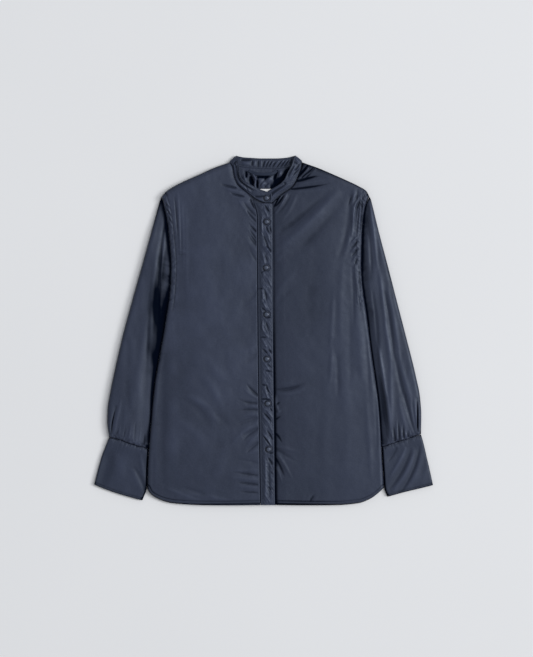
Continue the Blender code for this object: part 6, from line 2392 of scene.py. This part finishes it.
@dataclass(frozen=True)
class FloorFinish:
    """A plain pale matt floor."""

    name: str = "pale_floor"
    colour: Colour = (0.895, 0.905, 0.925)

    def make(self) -> bpy.types.Material:
        """Make the material: one pale colour, a shade uneven."""
        tree = NodeTree(self.name)
        place = tree.place
        uneven = tree.span(tree.noise(place, 1.5, 2.0), 0.3, 0.7, 0.0, 1.0)
        darker = tuple(0.985 * part for part in self.colour)
        tree.set(tree.shader, {
            "Base Color": tree.blend(uneven, darker, self.colour),
            "Roughness": 0.9,
            "Specular IOR Level": 0.1,
        })
        return tree.material


@dataclass(frozen=True)
class Finishes:
    """Every finish of the garment, made once."""

    # Colours of each cloth: painted shade in troughs, then painted highlight on ridges
    nylon: bpy.types.Material = field(default_factory=lambda: ClothFinish(
        "padded_nylon_cloth", (0.009, 0.012, 0.023), (0.050, 0.061, 0.105), 0.48, 0.03,
        0.00036, 0.00013).make())
    strip: bpy.types.Material = field(default_factory=lambda: ClothFinish(
        "nylon_strip_cloth", (0.007, 0.010, 0.020), (0.048, 0.059, 0.102), 0.48, 0.03,
        0.00036, 0.00010).make())
    tape: bpy.types.Material = field(default_factory=lambda: ClothFinish(
        "loop_tape", (0.009, 0.013, 0.030), (0.020, 0.028, 0.056), 0.6, 0.05,
        0.0007, 0.00004).make())
    label: bpy.types.Material = field(default_factory=lambda: ClothFinish(
        "label_tape", (0.80, 0.80, 0.80), (0.90, 0.90, 0.90), 0.7, 0.1,
        0.0005, 0.00003).make())
    snap: bpy.types.Material = field(default_factory=lambda: SnapFinish().make())
    thread: bpy.types.Material = field(default_factory=lambda: ThreadFinish().make())


# ---------------------------------------------------------------- studio


def facing(place: tuple[float, float, float]) -> object:
    """Return the turn that makes a light shine from a place onto the garment."""
    return Vector(place).to_track_quat("Z", "Y").to_euler()


@dataclass
class Studio:
    """A pale floor, soft lights and the camera.

    Attributes:
        lens: Focal length of the camera, in millimetres.
        eye: Where the camera is, in metres; it looks straight down.
        floor_half: Half the side of the floor, in metres.
        floor_drop: How far the floor is below the cloth, in metres.
        key_from: Direction of the low light, seen from the garment.
        key_spread: Its width in degrees, which softens its shadows.
        key: Strength of the low light that comes in from the garment's left sleeve.
        softbox: Power of the square light above that sleeve.
        softbox_size: Its side, in metres.
        softbox_at: Where it is, in metres.
        sky: Strength of the pale surroundings.
        sky_colour: Their colour.
        farthest: How far the camera sees, in metres.
    """

    lens: float = 85.0
    eye: tuple[float, float, float] = (0.0061, 0.0037, 3.2676)
    floor_half: float = 4.0
    floor_drop: float = 0.0002
    key_from: tuple[float, float, float] = (1.0, 0.08, 0.72)
    key_spread: float = 20.0
    key: float = 1.35
    softbox: float = 100.0
    softbox_size: float = 2.8
    softbox_at: tuple[float, float, float] = (2.8, 1.0, 5.2)
    sky: float = 0.37
    sky_colour: Colour = (0.95, 0.97, 1.0)
    farthest: float = 50.0

    def light(
        self, name: str, power: float, size: float, place: tuple[float, float, float]
    ) -> None:
        """Add a square light that faces the garment.

        Args:
            name: The light's name.
            power: Its power in watts.
            size: Its side in metres.
            place: Where it is, in metres.
        """
        lamp = bpy.data.lights.new(name, "AREA")
        lamp.energy = power
        lamp.size = size
        made = add_object(name, lamp)
        made.location = place
        made.rotation_euler = facing(place)
        made.visible_camera = False

    def build(self) -> None:
        """Set up the floor, the lights, the surroundings and the camera."""
        half = self.floor_half
        corners = [(x * half, y * half, -self.floor_drop) for x, y in FLOOR_CORNERS]
        mesh = bpy.data.meshes.new("floor")
        mesh.from_pydata(corners, [], [(0, 1, 2, 3)])
        mesh.materials.append(FloorFinish().make())
        add_object("floor", mesh)
        self.light("softbox", self.softbox, self.softbox_size, self.softbox_at)
        low = bpy.data.lights.new("key_light", "SUN")
        low.energy = self.key
        low.angle = math.radians(self.key_spread)
        add_object("key_light", low).rotation_euler = facing(self.key_from)
        bpy.context.scene.view_settings.view_transform = "Standard"
        world = bpy.data.worlds.new("studio")
        world.use_nodes = True
        backdrop = world.node_tree.nodes["Background"]
        backdrop.inputs["Color"].default_value = (*self.sky_colour, 1.0)
        backdrop.inputs["Strength"].default_value = self.sky
        bpy.context.scene.world = world
        lens = bpy.data.cameras.new("camera")
        lens.lens = self.lens
        lens.clip_end = self.farthest
        camera = add_object("camera", lens)
        camera.location = self.eye
        bpy.context.scene.camera = camera


# ---------------------------------------------------------------- the whole garment


def mirrored(rows: tuple[Fold, ...], share: float) -> tuple[Fold, ...]:
    """Mirror folds to the other side of the garment, at a share of their height."""
    return tuple(
        fold._replace(x0=-fold.x0, x1=-fold.x1, bow=-fold.bow, height=share * fold.height)
        for fold in rows
    )


@dataclass
class Overshirt:
    """The whole garment: makes each sub-assembly in order, the right one of a pair first."""

    body: BodyPlan = field(default_factory=BodyPlan)
    finishes: Finishes = field(default_factory=Finishes)

    def fronts(self) -> list[FrontPanel]:
        """Lay out the two fronts."""
        body = self.body
        right_neck, left_neck = smooth_curve(RIGHT_NECK), smooth_curve(LEFT_NECK)
        right_centre = shift_sideways(smooth_curve(PLACKET_LEFT), -PLAN_GAP)
        left_centre = smooth_curve(PLACKET_RIGHT) - np.array([STRIP_OVERLAP, 0.0])
        right = FrontPanel(
            cut=Cut("front_right", Slot.NYLON, (0.245, 0.720), 0.138, ON_BACK), body=body,
            neck=right_neck, centre=join_curves(right_neck[-1:], right_centre),
            side=body.right_edge, shoulder=body.right_shoulder, hem=body.right_hem,
            centre_air=CENTRE_AIR, folds=RIGHT_FRONT_FOLDS, seed=11, gathers=1.9,
        )
        left = FrontPanel(
            cut=Cut("front_left", Slot.NYLON, (0.240, 0.720), 0.135, ON_BACK), body=body,
            neck=left_neck, centre=join_curves(left_neck[-1:], left_centre),
            side=body.left_edge, shoulder=body.left_shoulder, hem=body.left_hem,
            centre_air=LEFT_CENTRE_AIR, folds=LEFT_FRONT_FOLDS, seed=31, gathers=3.6,
            crevice=1.2, laps_under=True,
        )
        return [right, left]

    def sleeves(self) -> list[Sleeve]:
        """Lay out the two sleeves."""
        right = Sleeve.shape(
            self.body.right_edge, RIGHT_SLEEVE_FOLD, RIGHT_CUFF_SEAM, -1.0, RIGHT_VALLEY)
        left = Sleeve.shape(
            self.body.left_edge, LEFT_SLEEVE_FOLD, LEFT_CUFF_SEAM, 1.0, LEFT_VALLEY)
        return [
            Sleeve(
                cut=Cut("sleeve_right", Slot.NYLON, (0.215, 0.505), 0.089), tube=right,
                folds=RIGHT_SLEEVE_FOLDS, painted_shadows=RIGHT_SLEEVE_PAINTED_SHADOWS, painted_shade_reach=6.0,
                under_folds=mirrored(LEFT_SLEEVE_FOLDS, SLEEVE_UNDER_SHARE), seed=111,
                slit=np.array(RIGHT_SLIT),
            ),
            Sleeve(
                cut=Cut("sleeve_left", Slot.NYLON, (0.210, 0.505), 0.087), tube=left,
                folds=LEFT_SLEEVE_FOLDS, painted_shadows=LEFT_SLEEVE_PAINTED_SHADOWS, painted_shade_reach=3.5,
                under_folds=mirrored(RIGHT_SLEEVE_FOLDS, SLEEVE_UNDER_SHARE), seed=131,
                slit=np.array(LEFT_SLIT),
            ),
        ]

    def cuffs(self) -> list[Cuff]:
        """Lay out the two cuffs."""
        right = Cuff.shape(RIGHT_CUFF_OUTER, RIGHT_CUFF_INNER, RIGHT_CUFF_SEAM, RIGHT_CUFF_HEM)
        left = Cuff.shape(LEFT_CUFF_OUTER, LEFT_CUFF_INNER, LEFT_CUFF_SEAM, LEFT_CUFF_HEM)
        return [
            Cuff(
                cut=Cut("cuff_right", Slot.STRIP, (0.210, 0.105), 0.0205), tube=right,
                folds=RIGHT_CUFF_FOLDS, seed=151,
                under_folds=mirrored(LEFT_CUFF_FOLDS, CUFF_UNDER_SHARE),
            ),
            Cuff(
                cut=Cut("cuff_left", Slot.STRIP, (0.205, 0.105), 0.0200), tube=left,
                folds=LEFT_CUFF_FOLDS, seed=161,
                under_folds=mirrored(RIGHT_CUFF_FOLDS, CUFF_UNDER_SHARE),
            ),
        ]

    def build(self) -> None:
        """Make every piece of the garment, and then the stitches on them."""
        finishes = self.finishes
        back = BackPanel(body=self.body)
        fronts, sleeves, cuffs = self.fronts(), self.sleeves(), self.cuffs()
        placket, collar = PlacketStrip(), CollarStand()
        for piece in (back, *fronts, *sleeves):
            piece.build(finishes.nylon)
        for piece in (UnderPlacket(placket=placket), placket, collar, *cuffs):
            piece.build(finishes.strip)
        HangerLoop().build(finishes.tape)
        NeckLabel(back=back).build(finishes.label)
        for number, place in enumerate(SNAPS, start=1):
            cut = Cut(f"snap_cap_{number}", Slot.SNAP)
            SnapCap(number, place, cut=cut).build(finishes.snap)
        LOG.info("%d snap caps", len(SNAPS))
        stitching = Stitching()
        for piece in (*fronts, *cuffs, placket, collar):
            rows = piece.stitch_rows()
            stitching.build(f"stitches_{piece.cut.node}", rows, finishes.thread)


def main() -> None:
    logging.basicConfig(level=logging.INFO, format="%(message)s")
    Studio().build()
    Overshirt().build()
    bpy.context.view_layer.update()


if __name__ == "__main__":
    main()
